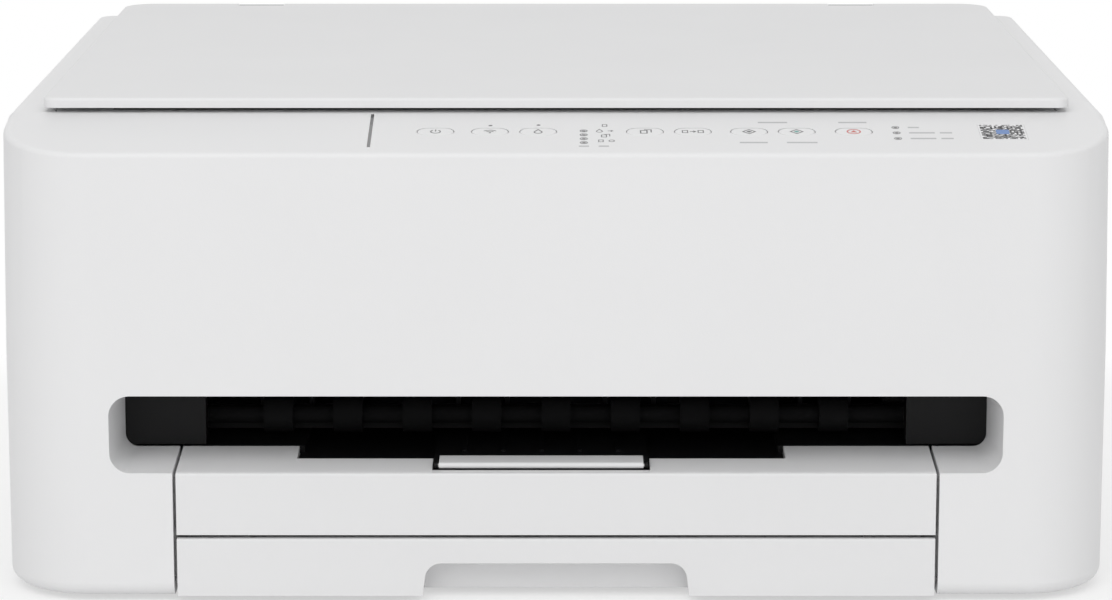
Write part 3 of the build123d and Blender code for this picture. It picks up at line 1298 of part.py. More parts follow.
def feed_motor():
    """Motor that turns the rollers through the gears."""
    start = -SIDE_PLATE_X + MOTOR_GAP
    can = rod("X", start, start + MOTOR_L, PINION_Y, PINION_Z, MOTOR_R)
    can += block(start, start + MOTOR_FOOT, PINION_Y - MOTOR_R, PINION_Y + MOTOR_R, FLOOR_Z, PINION_Z)
    return can - rod("X", start - OVER, start + MOTOR_BORE_L, PINION_Y, PINION_Z, PINION_AXLE_R + FIT)


def pinch_rollers():
    """Small free rollers that press the paper on the feed roller."""
    return [rod("X", x - PINCH_HALF, x + PINCH_HALF, FEED_Y, PINCH_Z, PINCH_R) for x in STAR_XS[::2]]


def pinch_holder():
    """Bar of arms behind the pinch rollers, fixed to the frame."""
    half, near = PAPER_W / 2, FEED_Y + ARM_REACH
    bar = block(-half, half, near, FRAME_Y, PINCH_Z + ARM_T, PINCH_Z + ARM_TOP)
    return bar + block(-half, half, near - ARM_D, near, PINCH_Z - ARM_LOW, PINCH_Z + ARM_TOP)


def star_wheels():
    """Thin toothed wheels that hold fresh prints without smearing."""
    wheels = []
    for x in STAR_XS:
        flat = Plane.YZ * gear_outline(STAR_TEETH, 2 * STAR_R / STAR_TEETH * STAR_SHARE, 90.0)
        wheel = extrude(flat, STAR_T)
        wheels.append(Pos(x - STAR_T / 2, EJECT_Y, STAR_Z) * wheel)
    return wheels


def star_holder():
    """Bar above the outlet that carries the star wheels."""
    low = STAR_Z + STAR_R + OVER
    half = SIDE_PLATE_X - PLATE_T
    bar = block(-half, half, EJECT_Y - STAR_BAR_NEAR, EJECT_Y + STAR_BAR_FAR, low, low + STAR_BAR_T)
    for x in STAR_XS:
        for middle in (x - STAR_ARM_X, x + STAR_ARM_X):
            bar += block(middle - RIB_T / 2, middle + RIB_T / 2, EJECT_Y - STAR_ARM_HALF,
                         EJECT_Y + STAR_ARM_HALF, STAR_Z - STAR_ARM_LOW, low + OVER)
    return bar


def pickup_arm():
    """Swinging arm that lowers the pick-up roller onto the stack."""
    run, rise = PICK_ROLL_Y - PICK_AXIS_Y, PICK_ROLL_Z - PICK_PIN_Z
    lean = math.degrees(math.atan2(rise, run))
    reach = math.hypot(run, rise)
    slope = Pos(0, PICK_AXIS_Y, PICK_PIN_Z) * Rot(lean, 0, 0) * Pos(0, reach / 2, 0)
    arm = Pos(0, TIE_Y, TIE_Z) * Box(2 * CHEEK_MID, TIE_D, TIE_T)
    for middle in (-CHEEK_MID, CHEEK_MID):
        start, end = middle - CHEEK_HALF, middle + CHEEK_HALF
        arm += rod("X", start, end, PICK_AXIS_Y, PICK_PIN_Z, ARM_END_R)
        arm += rod("X", start, end, PICK_ROLL_Y, PICK_ROLL_Z, ARM_FAR_R)
        arm += Pos(middle, 0, 0) * slope * Box(2 * CHEEK_HALF, reach, ARM_H)
    half = SIDE_PLATE_X + RAIL_OUT
    arm += rod("X", -half, half, PICK_AXIS_Y, PICK_PIN_Z, PICK_SHAFT_R)
    return arm - rod("X", -PICK_BORE_HALF, PICK_BORE_HALF, PICK_ROLL_Y, PICK_ROLL_Z, PICK_PIN_R + FIT)


def pickup_roller():
    """Rubber roller at the end of the arm."""
    roller = rod("X", -PICK_HALF, PICK_HALF, PICK_ROLL_Y, PICK_ROLL_Z, PICK_ROLL_R)
    return roller + rod("X", -PICK_PIN_HALF, PICK_PIN_HALF, PICK_ROLL_Y, PICK_ROLL_Z, PICK_PIN_R)


def purge_unit():
    """Capping and cleaning station under the parked carriage."""
    unit = block(PAPER_W / 2 + PURGE_SIDE, SIDE_PLATE_X - PLATE_T - PURGE_GAP, PURGE_FRONT, PURGE_BACK,
                 PLATEN_LOW, HEAD_Z - PURGE_DROP)
    unit += block(DRAWER_W / 2 + PURGE_SIDE, SIDE_PLATE_X - PURGE_LEG_X, PURGE_FRONT, PURGE_BACK,
                  FLOOR_Z, PLATEN_LOW + OVER)
    y0, y1 = PURGE_FRONT + CAP_INSET, PURGE_BACK - CAP_INSET
    for x in CAP_XS:
        unit += block(x, x + CAP_W, y0, y1, HEAD_Z - CAP_DROP, HEAD_Z - CAP_TOP)
        unit -= block(x + CAP_RIM, x + CAP_W - CAP_RIM, y0 + CAP_RIM, y1 - CAP_RIM,
                      HEAD_Z - CAP_FLOOR, HEAD_Z + OVER)
    return unit


def ink_absorber():
    """Felt pad that soaks up waste ink."""
    return block(SIDE_PLATE_X + ABSORBER_GAP, WIDTH / 2 - WALL - OVER, EJECT_Y, ABSORBER_BACK,
                 FLOOR_Z, FLOOR_Z + ABSORBER_H)


def power_supply():
    """Closed supply unit at the left rear, behind the mains inlet."""
    return soft_block(-WIDTH / 2 + WALL + SUPPLY_GAP, -DRAWER_W / 2 - SUPPLY_SIDE, SUPPLY_FRONT,
                      SUPPLY_BACK, FLOOR_Z, FLOOR_Z + SUPPLY_H, SUPPLY_GAP)


def main_board():
    """Upright circuit board at the right, with its chips and its data socket's edge."""
    board = block(MAIN_X, MAIN_X + BOARD_T, MAIN_FRONT, MAIN_BACK, FLOOR_Z, MAIN_TOP)
    for y, z in CHIP_PLACES:
        board += block(MAIN_X - CHIP_T, MAIN_X, y, y + CHIP_W, z, z + CHIP_W)
    return board


def panel_board():
    """Circuit board behind the control panel with a switch under each key."""
    low = -KEY_CAP_T - KEY_STEM_L - SWITCH_DROP
    plate = Box(PANEL_BOARD_W, PANEL_BOARD_L, BOARD_T)
    board = on_panel(PANEL_BOARD_MID, PANEL_BOARD_MID, low) * plate
    for x in KEY_XS:
        board += on_panel(x, KEY_ALONG, low + SWITCH_T) * Box(SWITCH_W, SWITCH_W, SWITCH_T)
    top = low + BOARD_T / 2
    for x in POST_XS:
        board += on_panel(x, POST_ALONG, (top - WALL) / 2) * Cylinder(POST_R, -top - WALL)
    return board


def key(x):
    """One pill-shaped key, level with the panel, on a round stem."""
    cap = extrude(SlotOverall(KEY_L, KEY_W), KEY_CAP_T)
    cap = fillet(cap.edges().group_by(Axis.Z)[-1], KEY_EDGE_R)
    skirt = Pos(0, 0, -SKIRT) * extrude(SlotOverall(KEY_L - SKIRT, KEY_W - SKIRT), SKIRT)
    stem = Pos(0, 0, -KEY_STEM_L / 2) * Cylinder(KEY_STEM_R, KEY_STEM_L)
    return on_panel(x, KEY_ALONG, -KEY_CAP_T) * (cap + skirt + stem)


# Every node by its name

NODES = {
    "outer_case": outer_case(),
    "lower_case": lower_case(),
    "rear_cover": rear_cover(),
    "rear_sockets": [ac_inlet(), usb_port()],
    "rubber_feet": rubber_feet(),
    "case_screws": case_screws(),
    "outlet_bezel": outlet_bezel(),
    "panel_lights": [status_light()] + panel_lamps(),
    "code_label": code_label(),
    "circuit_boards": [panel_board(), main_board()],
    "power_supply": power_supply(),
    "ink_absorber": ink_absorber(),
    "cassette_tub": cassette_tub(),
    "cassette_front": cassette_front(),
    "lift_plate": lift_plate(),
    "side_guide_left": side_guide(-1),
    "side_guide_right": side_guide(1),
    "guide_pinion": guide_pinion(),
    "length_guide": length_guide(),
    "output_tray": output_tray(),
    "tray_insert": tray_insert(),
    "paper_support": paper_support(),
    "stopper_tab": stopper_tab(),
    "scanner_base": scanner_base(),
    "scanner_top": scanner_top(),
    "platen_glass": platen_glass(),
    "scan_rail": scan_rail(),
    "scan_bar": [scan_bar(), scan_rod_lens()],
    "scan_pulley_left": scan_pulley(-SCAN_PULLEY_X),
    "scan_pulley_right": scan_pulley(SCAN_PULLEY_X),
    "scan_belt": scan_belt(),
    "lid_shell": lid_shell(),
    "lid_pad": lid_pad(),
    "lid_hinge_blocks": lid_hinge_blocks(),
    "engine_frame": engine_frame(),
    "carriage_rail": carriage_rail(),
    "carriage": carriage(),
    "cartridges": [cartridge(-1), cartridge(1)],
    "carriage_pulley_left": carriage_pulley(-PULLEY_X),
    "carriage_pulley_right": carriage_pulley(PULLEY_X),
    "carriage_belt": carriage_belt(),
    "motors": [carriage_motor(), feed_motor()],
    "print_platen": print_platen(),
    "feed_roller": feed_roller(),
    "idler_gear": idler_gear(),
    "eject_roller": eject_roller(),
    "motor_pinion": motor_pinion(),
    "purge_unit": purge_unit(),
    "press_wheels": pinch_rollers() + star_wheels(),
    "roller_holders": [pinch_holder(), star_holder()],
    "pickup_arm": pickup_arm(),
    "pickup_roller": pickup_roller(),
}
NODES.update({f"key_{number}": key(x) for number, x in enumerate(KEY_XS, 1)})

for name, shape in NODES.items():
    save(name, shape)
print(len(NODES), "nodes")
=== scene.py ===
# %% [markdown]
# A home inkjet printer with a flatbed scanner, dressed for a studio picture.
# The moulded shells, rollers and gears already exist at their real size. This lesson
# loads them as a fixed frame, then adds what a construction model leaves out: eased
# edges, grained plastic, printed marks, belt teeth and calm light.
# Everything is in metres. X runs to the right, Y to the rear and Z up from the table.

# %% The frame
import json
import math

import bmesh
import bpy
from mathutils import Matrix, Vector


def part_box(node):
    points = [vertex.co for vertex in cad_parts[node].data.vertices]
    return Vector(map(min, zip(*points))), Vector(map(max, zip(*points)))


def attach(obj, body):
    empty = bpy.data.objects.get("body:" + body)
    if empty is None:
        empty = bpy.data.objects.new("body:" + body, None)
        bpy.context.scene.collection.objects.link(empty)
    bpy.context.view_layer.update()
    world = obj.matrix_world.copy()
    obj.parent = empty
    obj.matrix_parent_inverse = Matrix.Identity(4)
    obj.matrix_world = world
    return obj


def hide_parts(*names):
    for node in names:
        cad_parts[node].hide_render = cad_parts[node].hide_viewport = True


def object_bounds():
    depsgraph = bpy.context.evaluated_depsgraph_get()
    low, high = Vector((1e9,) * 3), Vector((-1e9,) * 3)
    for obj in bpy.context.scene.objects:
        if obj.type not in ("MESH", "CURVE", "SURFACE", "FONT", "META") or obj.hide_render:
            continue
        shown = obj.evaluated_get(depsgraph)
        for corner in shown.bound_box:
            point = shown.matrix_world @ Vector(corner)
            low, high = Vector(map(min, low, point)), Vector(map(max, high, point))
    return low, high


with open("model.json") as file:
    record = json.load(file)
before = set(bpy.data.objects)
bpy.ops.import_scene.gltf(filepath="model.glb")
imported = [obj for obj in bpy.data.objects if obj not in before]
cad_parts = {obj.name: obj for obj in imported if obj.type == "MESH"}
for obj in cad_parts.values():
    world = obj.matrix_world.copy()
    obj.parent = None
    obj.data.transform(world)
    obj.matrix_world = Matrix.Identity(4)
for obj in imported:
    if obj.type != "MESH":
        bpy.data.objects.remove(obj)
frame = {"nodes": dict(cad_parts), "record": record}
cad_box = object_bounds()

MM = 0.001

# %% [markdown]
# A product picture is taken from far away with a long lens, so that the sides of a box
# stay nearly parallel. A short lens close by would also fit the printer in, but it
# would splay the sides. The camera stands in front, a little above the lid, and looks
# down by a few degrees: enough to show the lid as a narrow band above the front.

# %% The camera
LENS = 126.3
SENSOR = 36.0
CAMERA_PLACE = (0.0, -1.4319, 0.35673)
CAMERA_TILT = math.radians(78.8)


def into_scene(name, data):
    """A new object at the origin, put into the scene."""
    thing = bpy.data.objects.new(name, data)
    bpy.context.scene.collection.objects.link(thing)
    return thing


def make_camera():
    """A long lens in front of the printer, tilted down to take in the lid."""
    data = bpy.data.cameras.new("camera")
    data.lens = LENS
    data.sensor_width = SENSOR
    camera = into_scene("camera", data)
    camera.location = CAMERA_PLACE
    camera.rotation_euler = (CAMERA_TILT, 0.0, 0.0)
    bpy.context.scene.camera = camera
    print("camera at", tuple(round(v, 3) for v in camera.location))


make_camera()

# %% [markdown]
# A shader tree could be wired by hand, one node and one link at a time, but a tree is
# easier to read as a sum. A Wire stands for one output socket, and knows plus, minus,
# times and the rest, so that 1 - mask works as written. A vector goes through Vector
# Math and a plain number through Math. Colours are mixed with a Mix node only, because
# a Math node would turn them grey.


# %% Sums of sockets
class Wire:
    """One output of a node, with the arithmetic that Python has."""

    def __init__(self, tree, socket):
        self.tree = tree
        self.socket = socket

    def maths(self, operation, *values):
        """A Math or Vector Math node on these values, by what they are."""
        vector = any(isinstance(v, Wire) and v.socket.type == "VECTOR" for v in values)
        kind = "ShaderNodeVectorMath" if vector else "ShaderNodeMath"
        return self.tree.add(kind, {"operation": operation}, dict(enumerate(values)))

    def __add__(self, other):
        return self.maths("ADD", self, other)

    def __sub__(self, other):
        return self.maths("SUBTRACT", self, other)

    def __rsub__(self, other):
        return self.maths("SUBTRACT", other, self)

    def __mul__(self, other):
        return self.maths("MULTIPLY", self, other)

    def __truediv__(self, other):
        return self.maths("DIVIDE", self, other)

    def __pow__(self, other):
        return self.maths("POWER", self, other)

    def __lt__(self, other):
        return self.maths("LESS_THAN", self, other)

    __radd__ = __add__
    __rmul__ = __mul__

    def magnitude(self):
        """The same number without its sign."""
        return self.maths("ABSOLUTE", self)

    def at_least(self, low):
        """The same number, but never under a low end."""
        return self.maths("MAXIMUM", self, low)

    def limited(self):
        """The same number, held between 0 and 1."""
        return self.maths("MINIMUM", self.at_least(0.0), 1.0)

    def part(self, axis):
        """One of a vector's three numbers, by its letter."""
        return self.tree.add("ShaderNodeSeparateXYZ", {}, {0: self}, out=axis)


print("sockets can be added, scaled and compared")

# %% [markdown]
# Every other node comes from one method. It takes the kind of node, its settings, and
# the values or wires of its sockets, and gives back one output. Keeping the settings
# apart from the sockets matters, because a setting such as a data type can change which
# sockets a node has.


# %% Adding nodes
class Tree:
    """A tree of nodes, and the one way of adding a node to it."""

    def __init__(self, nodes_and_links):
        self.nodes = nodes_and_links.nodes
        self.links = nodes_and_links.links
        self.nodes.clear()

    def add(self, kind, settings, values, out=0):
        """A node of a kind: its settings first, then its sockets, then one output."""
        node = self.nodes.new(kind)
        for name, setting in settings.items():
            setattr(node, name, setting)
        for name, value in values.items():
            if isinstance(value, Wire):
                self.links.new(value.socket, node.inputs[name])
            else:
                node.inputs[name].default_value = value
        return Wire(self, node.outputs[out])

    def end(self, kind, result):
        """The closing node of a tree, fed with its result."""
        output = self.nodes.new(kind)
        self.links.new(result.socket, output.inputs[0])

    def mix(self, factor, first, second):
        """A colour between two plain colours."""
        values = {0: factor, 6: (*first, 1.0), 7: (*second, 1.0)}
        return self.add("ShaderNodeMix", {"data_type": "RGBA"}, values, out=2)

    def blend(self, factor, first, second):
        """One shader fading into another."""
        return self.add("ShaderNodeMixShader", {}, {0: factor, 1: first, 2: second})

    def place(self):
        """Where a point lies on the piece, in metres."""
        return self.add("ShaderNodeTexCoord", {}, {}, out="Object")

    def noise(self, size, detail=2.0, place=None):
        """A soft random number from 0 to 1, with lumps of a size in metres."""
        values = {"Vector": place or self.place(), "Scale": 1.0 / size, "Detail": detail}
        return self.add("ShaderNodeTexNoise", {}, values, out="Fac")


print("trees can grow")

# %% [markdown]
# The studio is white all round, as in a catalogue. White walls could be lit until they
# burn out, but then they would wash out the printer too. Instead Light Path tells
# camera, glossy and transmission rays apart from the light itself: those rays see plain
# white, and the printer is lit by something calmer.

# %% White only for the eye
WHITE = (1.0, 1.0, 1.0, 1.0)


def seen_directly(tree):
    """1 for camera, glossy and transmission rays, and 0 for the light itself."""
    rays = [tree.add("ShaderNodeLightPath", {}, {}, out=f"Is {kind} Ray")
            for kind in ("Camera", "Glossy", "Transmission")]
    return (rays[0] + rays[1] + rays[2]).limited()


print("white is for camera, glossy and transmission rays")

# %% [markdown]
# The light comes from a sky that is bright in front and above and darker at the sides.
# Several soft boxes would do the same, with more shadows to keep in step. The darker
# sides are what makes white plastic read as round at its corners.

# %% The sky
SKY_BASE = 0.16
SKY_FRONT = 0.86
SKY_TOP = 0.74
SKY_REAR = 0.30


def make_sky():
    """A white studio whose walls light the front and top more than the sides."""
    world = bpy.data.worlds.new("studio")
    world.use_nodes = True
    tree = Tree(world.node_tree)
    way = tree.add("ShaderNodeTexCoord", {}, {}, out="Generated")
    rear, up = way.part("Y"), way.part("Z")
    front = (0.0 - rear).limited()
    strength = SKY_BASE + SKY_FRONT * front + SKY_REAR * rear.limited() + SKY_TOP * up.limited()
    light = tree.add("ShaderNodeBackground", {}, {"Strength": strength})
    white = tree.add("ShaderNodeBackground", {}, {"Color": WHITE})
    tree.end("ShaderNodeOutputWorld", tree.blend(seen_directly(tree), light, white))
    bpy.context.scene.world = world
    print("sky from", SKY_BASE, "to", SKY_BASE + SKY_FRONT)


make_sky()

# %% [markdown]
# The printer stands on a table that can't be told from the wall behind it. The floor
# keeps a soft shadow close to the feet and turns into plain white further out. The
# distance from the printer's outline drives that change, so that the shadow fades
# evenly on all sides.

# %% The floor
FLOOR_HALF = 6.0
FLOOR_WHITE = 0.93
SHADOW_REACH = 0.10
SHADOW_DEPTH = 0.55


def floor_paint():
    """White paint that turns to pure white away from the printer's outline."""
    finish = bpy.data.materials.new("studio_floor")
    finish.use_nodes = True
    tree = Tree(finish.node_tree)
    place = tree.place()
    across = (place.part("X").magnitude() - cad_box[1].x).at_least(0.0)
    along = (place.part("Y").magnitude() - cad_box[1].y).at_least(0.0)
    distance = (across ** 2.0 + along ** 2.0) ** 0.5
    far = SHADOW_DEPTH + (1.0 - SHADOW_DEPTH) * (distance / SHADOW_REACH).limited()
    paint = tree.add("ShaderNodeBsdfDiffuse", {}, {"Color": (FLOOR_WHITE,) * 3 + (1.0,)})
    white = tree.add("ShaderNodeEmission", {}, {"Color": WHITE})
    tree.end("ShaderNodeOutputMaterial", tree.blend(far * seen_directly(tree), paint, white))
    return finish


def make_floor():
    """A wide floor, one face."""
    mesh = bpy.data.meshes.new("floor")
    corners = [(-FLOOR_HALF, -FLOOR_HALF, 0.0), (FLOOR_HALF, -FLOOR_HALF, 0.0),
               (FLOOR_HALF, FLOOR_HALF, 0.0), (-FLOOR_HALF, FLOOR_HALF, 0.0)]
    mesh.from_pydata(corners, [], [(0, 1, 2, 3)])
    mesh.materials.append(floor_paint())
    into_scene("floor", mesh)
    print("floor", 2 * FLOOR_HALF, "metres wide")


make_floor()

# %% [markdown]
# One large soft box from the upper left gives the front its faint fall of light from
# side to side. A small lamp would draw a hard edge under the lid. The picture's colours
# are left as they are written, with the Standard view.

# %% The lamp
FRONT_LAMP_POWER = 8.0
FRONT_LAMP_SIZE = 1.2
FRONT_LAMP_PLACE = Vector((-0.25, -1.5, 1.5))


def make_lamp():
    """A square soft box, aimed at the middle of the printer."""
    data = bpy.data.lights.new("front_lamp", "AREA")
    data.size = FRONT_LAMP_SIZE
    data.energy = FRONT_LAMP_POWER
    lamp = into_scene("front_lamp", data)
    middle = (cad_box[0] + cad_box[1]) / 2
    lamp.location = FRONT_LAMP_PLACE
    lamp.rotation_mode = "QUATERNION"
    lamp.rotation_quaternion = (middle - FRONT_LAMP_PLACE).to_track_quat("-Z", "Y")
    print("lamp of", FRONT_LAMP_POWER, "watts")


make_lamp()
bpy.context.scene.view_settings.view_transform = "Standard"

# %% [markdown]
# Moulded plastic is never one flat colour. The mould is spark-eroded, which leaves a
# fine even grain; the colour drifts a little over a hand's width; and the sheen is a
# little uneven where hands have been. A photographed texture could carry all that, but
# it would need unwrapping and would blur in close-up. One class makes such a material
# by rule, in the piece's own metres, so that it holds still from any side.


# %% A finish
class Finish(Tree):
    """A material whose base is one Principled shader."""

    def __init__(self, name, colour, roughness):
        self.material = bpy.data.materials.new(name)
        self.material.use_nodes = True
        super().__init__(self.material.node_tree)
        base = {"Base Color": (*colour, 1.0), "Roughness": roughness}
        surface = self.add("ShaderNodeBsdfPrincipled", {}, base)
        self.shader = surface.socket.node
        self.end("ShaderNodeOutputMaterial", surface)
        self.colour = colour
        self.roughness = roughness

    def set(self, socket, value):
        """A constant goes straight onto the shader's own socket, and a wire is linked."""
        if isinstance(value, Wire):
            self.links.new(value.socket, self.shader.inputs[socket])
        else:
            self.shader.inputs[socket].default_value = value

    def drift(self, amount, size):
        """Colour that wanders darker and lighter by a share, over lumps of a size."""
        darker = [channel * (1.0 - amount) for channel in self.colour]
        lighter = [min(channel * (1.0 + amount), 1.0) for channel in self.colour]
        self.set("Base Color", self.mix(self.noise(size), darker, lighter))

    def uneven_sheen(self, amount, size):
        """Roughness that wanders by an amount either way."""
        self.set("Roughness", self.roughness + amount * (self.noise(size) - 0.5) * 2.0)

    def bumps(self, height, depth):
        """Light caught by small bumps of a depth in metres."""
        values = {"Height": height, "Distance": depth}
        self.set("Normal", self.add("ShaderNodeBump", {}, values, out="Normal"))


print("a finish has colour, sheen and bumps")

# %% [markdown]
# Nearly every visible part of the printer is injection-moulded. They differ in colour,
# in gloss and in how coarse the mould's grain is, and those are the values of one
# function. The noise gives all three changes, each at a size of its own: about 5 cm for
# colour, 3 cm for sheen and a third of a millimetre for the grain.

# %% Moulded plastic
GRAIN = 0.35 * MM
GRAIN_DEPTH = 0.02 * MM
DRIFT = 0.012
DRIFT_SIZE = 50 * MM
SHEEN_DRIFT = 0.05
SHEEN_SIZE = 30 * MM


def plastic(name, colour, roughness, grain=GRAIN, depth=GRAIN_DEPTH, drift=DRIFT):
    """Moulded plastic with spark-eroded grain, faint colour drift and uneven sheen."""
    finish = Finish(name, colour, roughness)
    finish.drift(drift, DRIFT_SIZE)
    finish.uneven_sheen(SHEEN_DRIFT, SHEEN_SIZE)
    finish.bumps(finish.noise(grain, detail=1.0), depth)
    return finish


print("grain of", GRAIN / MM, "mm")

# %% [markdown]
# The whites are not all the same. The case front is the smoothest, the lid's top is
# textured to hide scratches, and the drawers are a touch greyer. The foam under the lid
# is the coarsest. All are kept well under pure white, so that no lamp burns them out.

# %% White plastics
COOL_WHITE = (0.82, 0.82, 0.825)

finishes = {
    "case_white": plastic("case_white", COOL_WHITE, 0.45),
    "lid_white": plastic("lid_white", COOL_WHITE, 0.55, grain=0.6 * MM, depth=0.04 * MM),
    "drawer_white": plastic("drawer_white", (0.80, 0.80, 0.805), 0.45),
    "key_white": plastic("key_white", COOL_WHITE, 0.35),
    "gear_plastic": plastic("gear_plastic", (0.72, 0.71, 0.66), 0.35),
    "pad_white": plastic("pad_white", (0.82, 0.82, 0.82), 0.7, grain=1.2 * MM, depth=0.06 * MM),
}
print("white plastics:", len(finishes))

# %% [markdown]
# Inside, most parts are black or grey. A black part could be given a mirror-like gloss,
# but in a white studio it would then look grey. So the gloss at a straight look is
# lowered on the shader's own socket, and a visible grain keeps the part from turning
# into a hole in the picture.

# %% Dark plastics and rubber
finishes["black_plastic"] = plastic("black_plastic", (0.0065, 0.0065, 0.007), 0.42, drift=0.15)
finishes["dark_plastic"] = plastic("dark_plastic", (0.017, 0.017, 0.0185), 0.5, drift=0.1)
finishes["grey_plastic"] = plastic("grey_plastic", (0.40, 0.40, 0.41), 0.45, drift=0.03)
finishes["ink_cell"] = plastic("ink_cell", (0.02, 0.02, 0.022), 0.25, drift=0.1)
finishes["rubber"] = plastic("rubber", (0.008, 0.008, 0.0085), 0.8, grain=0.25 * MM,
                             depth=0.05 * MM, drift=0.15)
finishes["belt_rubber"] = plastic("belt_rubber", (0.018, 0.018, 0.018), 0.65, drift=0.15)
for name, gloss in (("black_plastic", 0.16), ("dark_plastic", 0.3), ("rubber", 0.12)):
    finishes[name].set("Specular IOR Level", gloss)
print("finishes so far:", len(finishes))

# %% [markdown]
# A felt pad in the base soaks up waste ink. Real fibres could be grown as hair, but the
# pad is deep inside and nobody counts them. Tangled noise with a little sheen at grazing
# angles looks the same at arm's length.

# %% Felt
FIBRE = 0.8 * MM
FIBRE_DEPTH = 0.3 * MM
FIBRE_SHADE = 0.75


def felt(name, colour):
    """Pressed felt: tangled fibres that catch light as a soft fuzz."""
    finish = Finish(name, colour, 0.95)
    fibres = finish.noise(FIBRE, detail=6.0)
    finish.set("Base Color", finish.mix(fibres, [c * FIBRE_SHADE for c in colour], colour))
    finish.bumps(fibres, FIBRE_DEPTH)
    finish.set("Sheen Weight", 0.4)
    return finish


finishes["felt"] = felt("felt", (0.62, 0.61, 0.58))
print("felt ready")

# %% [markdown]
# The shafts and rails lie across the printer and are drawn through a die, so their
# scratches all run one way. An anisotropic shader could suggest them, but it shows no
# single line in close-up. Noise stretched along the shaft draws the lines themselves.

# %% Drawn metal
DIE_STRETCH = (1.0, 60.0, 60.0)
DIE_LINE = 20 * MM
DIE_SHEEN = 0.16
DIE_DEPTH = 0.01 * MM


def drawn_metal(name, colour, roughness):
    """Metal drawn along the printer's width, with fine lines along it."""
    finish = Finish(name, colour, roughness)
    finish.set("Metallic", 1.0)
    lines = finish.noise(DIE_LINE, detail=3.0, place=finish.place() * DIE_STRETCH)
    finish.set("Roughness", roughness + DIE_SHEEN * (lines - 0.5))
    finish.bumps(lines, DIE_DEPTH)
    return finish


finishes["steel"] = drawn_metal("steel", (0.62, 0.62, 0.63), 0.22)
finishes["zinc_steel"] = drawn_metal("zinc_steel", (0.50, 0.51, 0.52), 0.38)
print("metals ready")

# %% [markdown]
# The flatbed's glass is clear with a green cast. A glass shader with its true thickness
# is enough, because the plate is a real 3 mm thick solid here. Dust is what makes
# glass visible at all, so a few marks are a little rougher than the rest.

# %% Glass
GLASS_SHEEN = 0.02
DUST = 3 * MM
DUST_FROM = 0.62
DUST_SHEEN = 0.5


def float_glass(name):
    """Clear flat glass with a faint green cast and a few dust marks."""
    finish = Finish(name, (0.90, 0.96, 0.94), GLASS_SHEEN)
    finish.set("Transmission Weight", 1.0)
    finish.set("IOR", 1.45)
    dust = (finish.noise(DUST, detail=4.0) - DUST_FROM).limited()
    finish.set("Roughness", GLASS_SHEEN + DUST_SHEEN * dust)
    return finish


def smoked_window(name):
    """Dark glossy plastic over a small lamp."""
    finish = Finish(name, (0.045, 0.045, 0.05), 0.12)
    finish.drift(0.1, 2 * MM)
    finish.uneven_sheen(0.03, 4 * MM)
    finish.set("Coat Weight", 0.5)
    return finish


finishes["glass"] = float_glass("glass")
finishes["light_window"] = smoked_window("light_window")
print("glass ready")

# %% [markdown]
# A circuit board is green lacquer over copper. The tracks could be drawn one by one, but
# they only have to be believable. They run square to each other, so two stretched cell
# patterns that cross are enough, and the lacquer stands a hair higher over the copper.

# %% Circuit board
TRACK_SPAN = 6.4 * MM
TRACK_WIDTH = 0.05
TRACK_HEIGHT = 0.03 * MM
LACQUER = (0.012, 0.10, 0.045)
LACQUER_OVER_COPPER = (0.03, 0.20, 0.09)
LACQUER_SHEEN = 0.3


def circuit_board(name):
    """Green lacquer with paler lines where the copper runs under it."""
    finish = Finish(name, LACQUER, LACQUER_SHEEN)
    tracks = []
    for stretch in ((1.0, 1.0, 0.12), (1.0, 0.12, 1.0)):
        values = {"Vector": finish.place() * stretch, "Scale": 1.0 / TRACK_SPAN}
        edge = finish.add("ShaderNodeTexVoronoi", {"feature": "DISTANCE_TO_EDGE"}, values,
                          out="Distance")
        tracks.append(edge < TRACK_WIDTH)
    copper = (tracks[0] + tracks[1]).limited()
    finish.set("Base Color", finish.mix(copper, LACQUER, LACQUER_OVER_COPPER))
    finish.set("Roughness", LACQUER_SHEEN + 0.1 * copper)
    finish.bumps(copper, TRACK_HEIGHT)
    return finish


finishes["board"] = circuit_board("board")
finishes["label"] = plastic("label", (0.86, 0.86, 0.865), 0.4, grain=0.2 * MM, depth=0.005 * MM)
print("finishes:", len(finishes))

# %% [markdown]
# Each part of the frame already carries the name of its finish. The parts could be
# dressed one by one, but a name that is looked up never misses one.

# %% Dressing the frame
for node in frame["nodes"].values():
    for holder in node.material_slots:
        holder.material = finishes[holder.material.name.split(".")[0]].material
print("dressed nodes:", len(frame["nodes"]))

# %% [markdown]
# The shells come from the construction model as loose triangles, with every round cut
# into flats. Before an edge can be softened, it has to be one edge. So a shell's points
# are merged, and triangles that lie in one plane are dissolved into one face. The node
# itself is left alone, and a copy is worked on.

# %% Welding
WELD = 0.002 * MM
FLAT = math.radians(0.3)


def welded(node):
    """A copy of a node's mesh with its triangles joined up."""
    mesh = frame["nodes"][node].data.copy()
    form = bmesh.new()
    form.from_mesh(mesh)
    bmesh.ops.remove_doubles(form, verts=form.verts, dist=WELD)
    bmesh.ops.dissolve_limit(form, angle_limit=FLAT, verts=form.verts, edges=form.edges)
    form.to_mesh(mesh)
    form.free()
    return mesh


print("points closer than", WELD / MM, "mm are one")

# %% [markdown]
# A round corner of the case should shine as one curve, and the rim of the outlet should
# stay crisp. The angle between two faces tells which is which. A rule by angle is safer
# than a list of edges, because it still holds when the frame changes.

# %% Smooth rounds, sharp rims
SHARP = math.radians(28)


def smooth(mesh):
    """Shade smooth between the sharp edges."""
    for face in mesh.polygons:
        face.use_smooth = True
    form = bmesh.new()
    form.from_mesh(mesh)
    for edge in form.edges:
        edge.smooth = len(edge.link_faces) == 2 and edge.calc_face_angle(math.pi) < SHARP
    form.to_mesh(mesh)
    form.free()


print("edges are sharp from", round(math.degrees(SHARP)), "degrees")

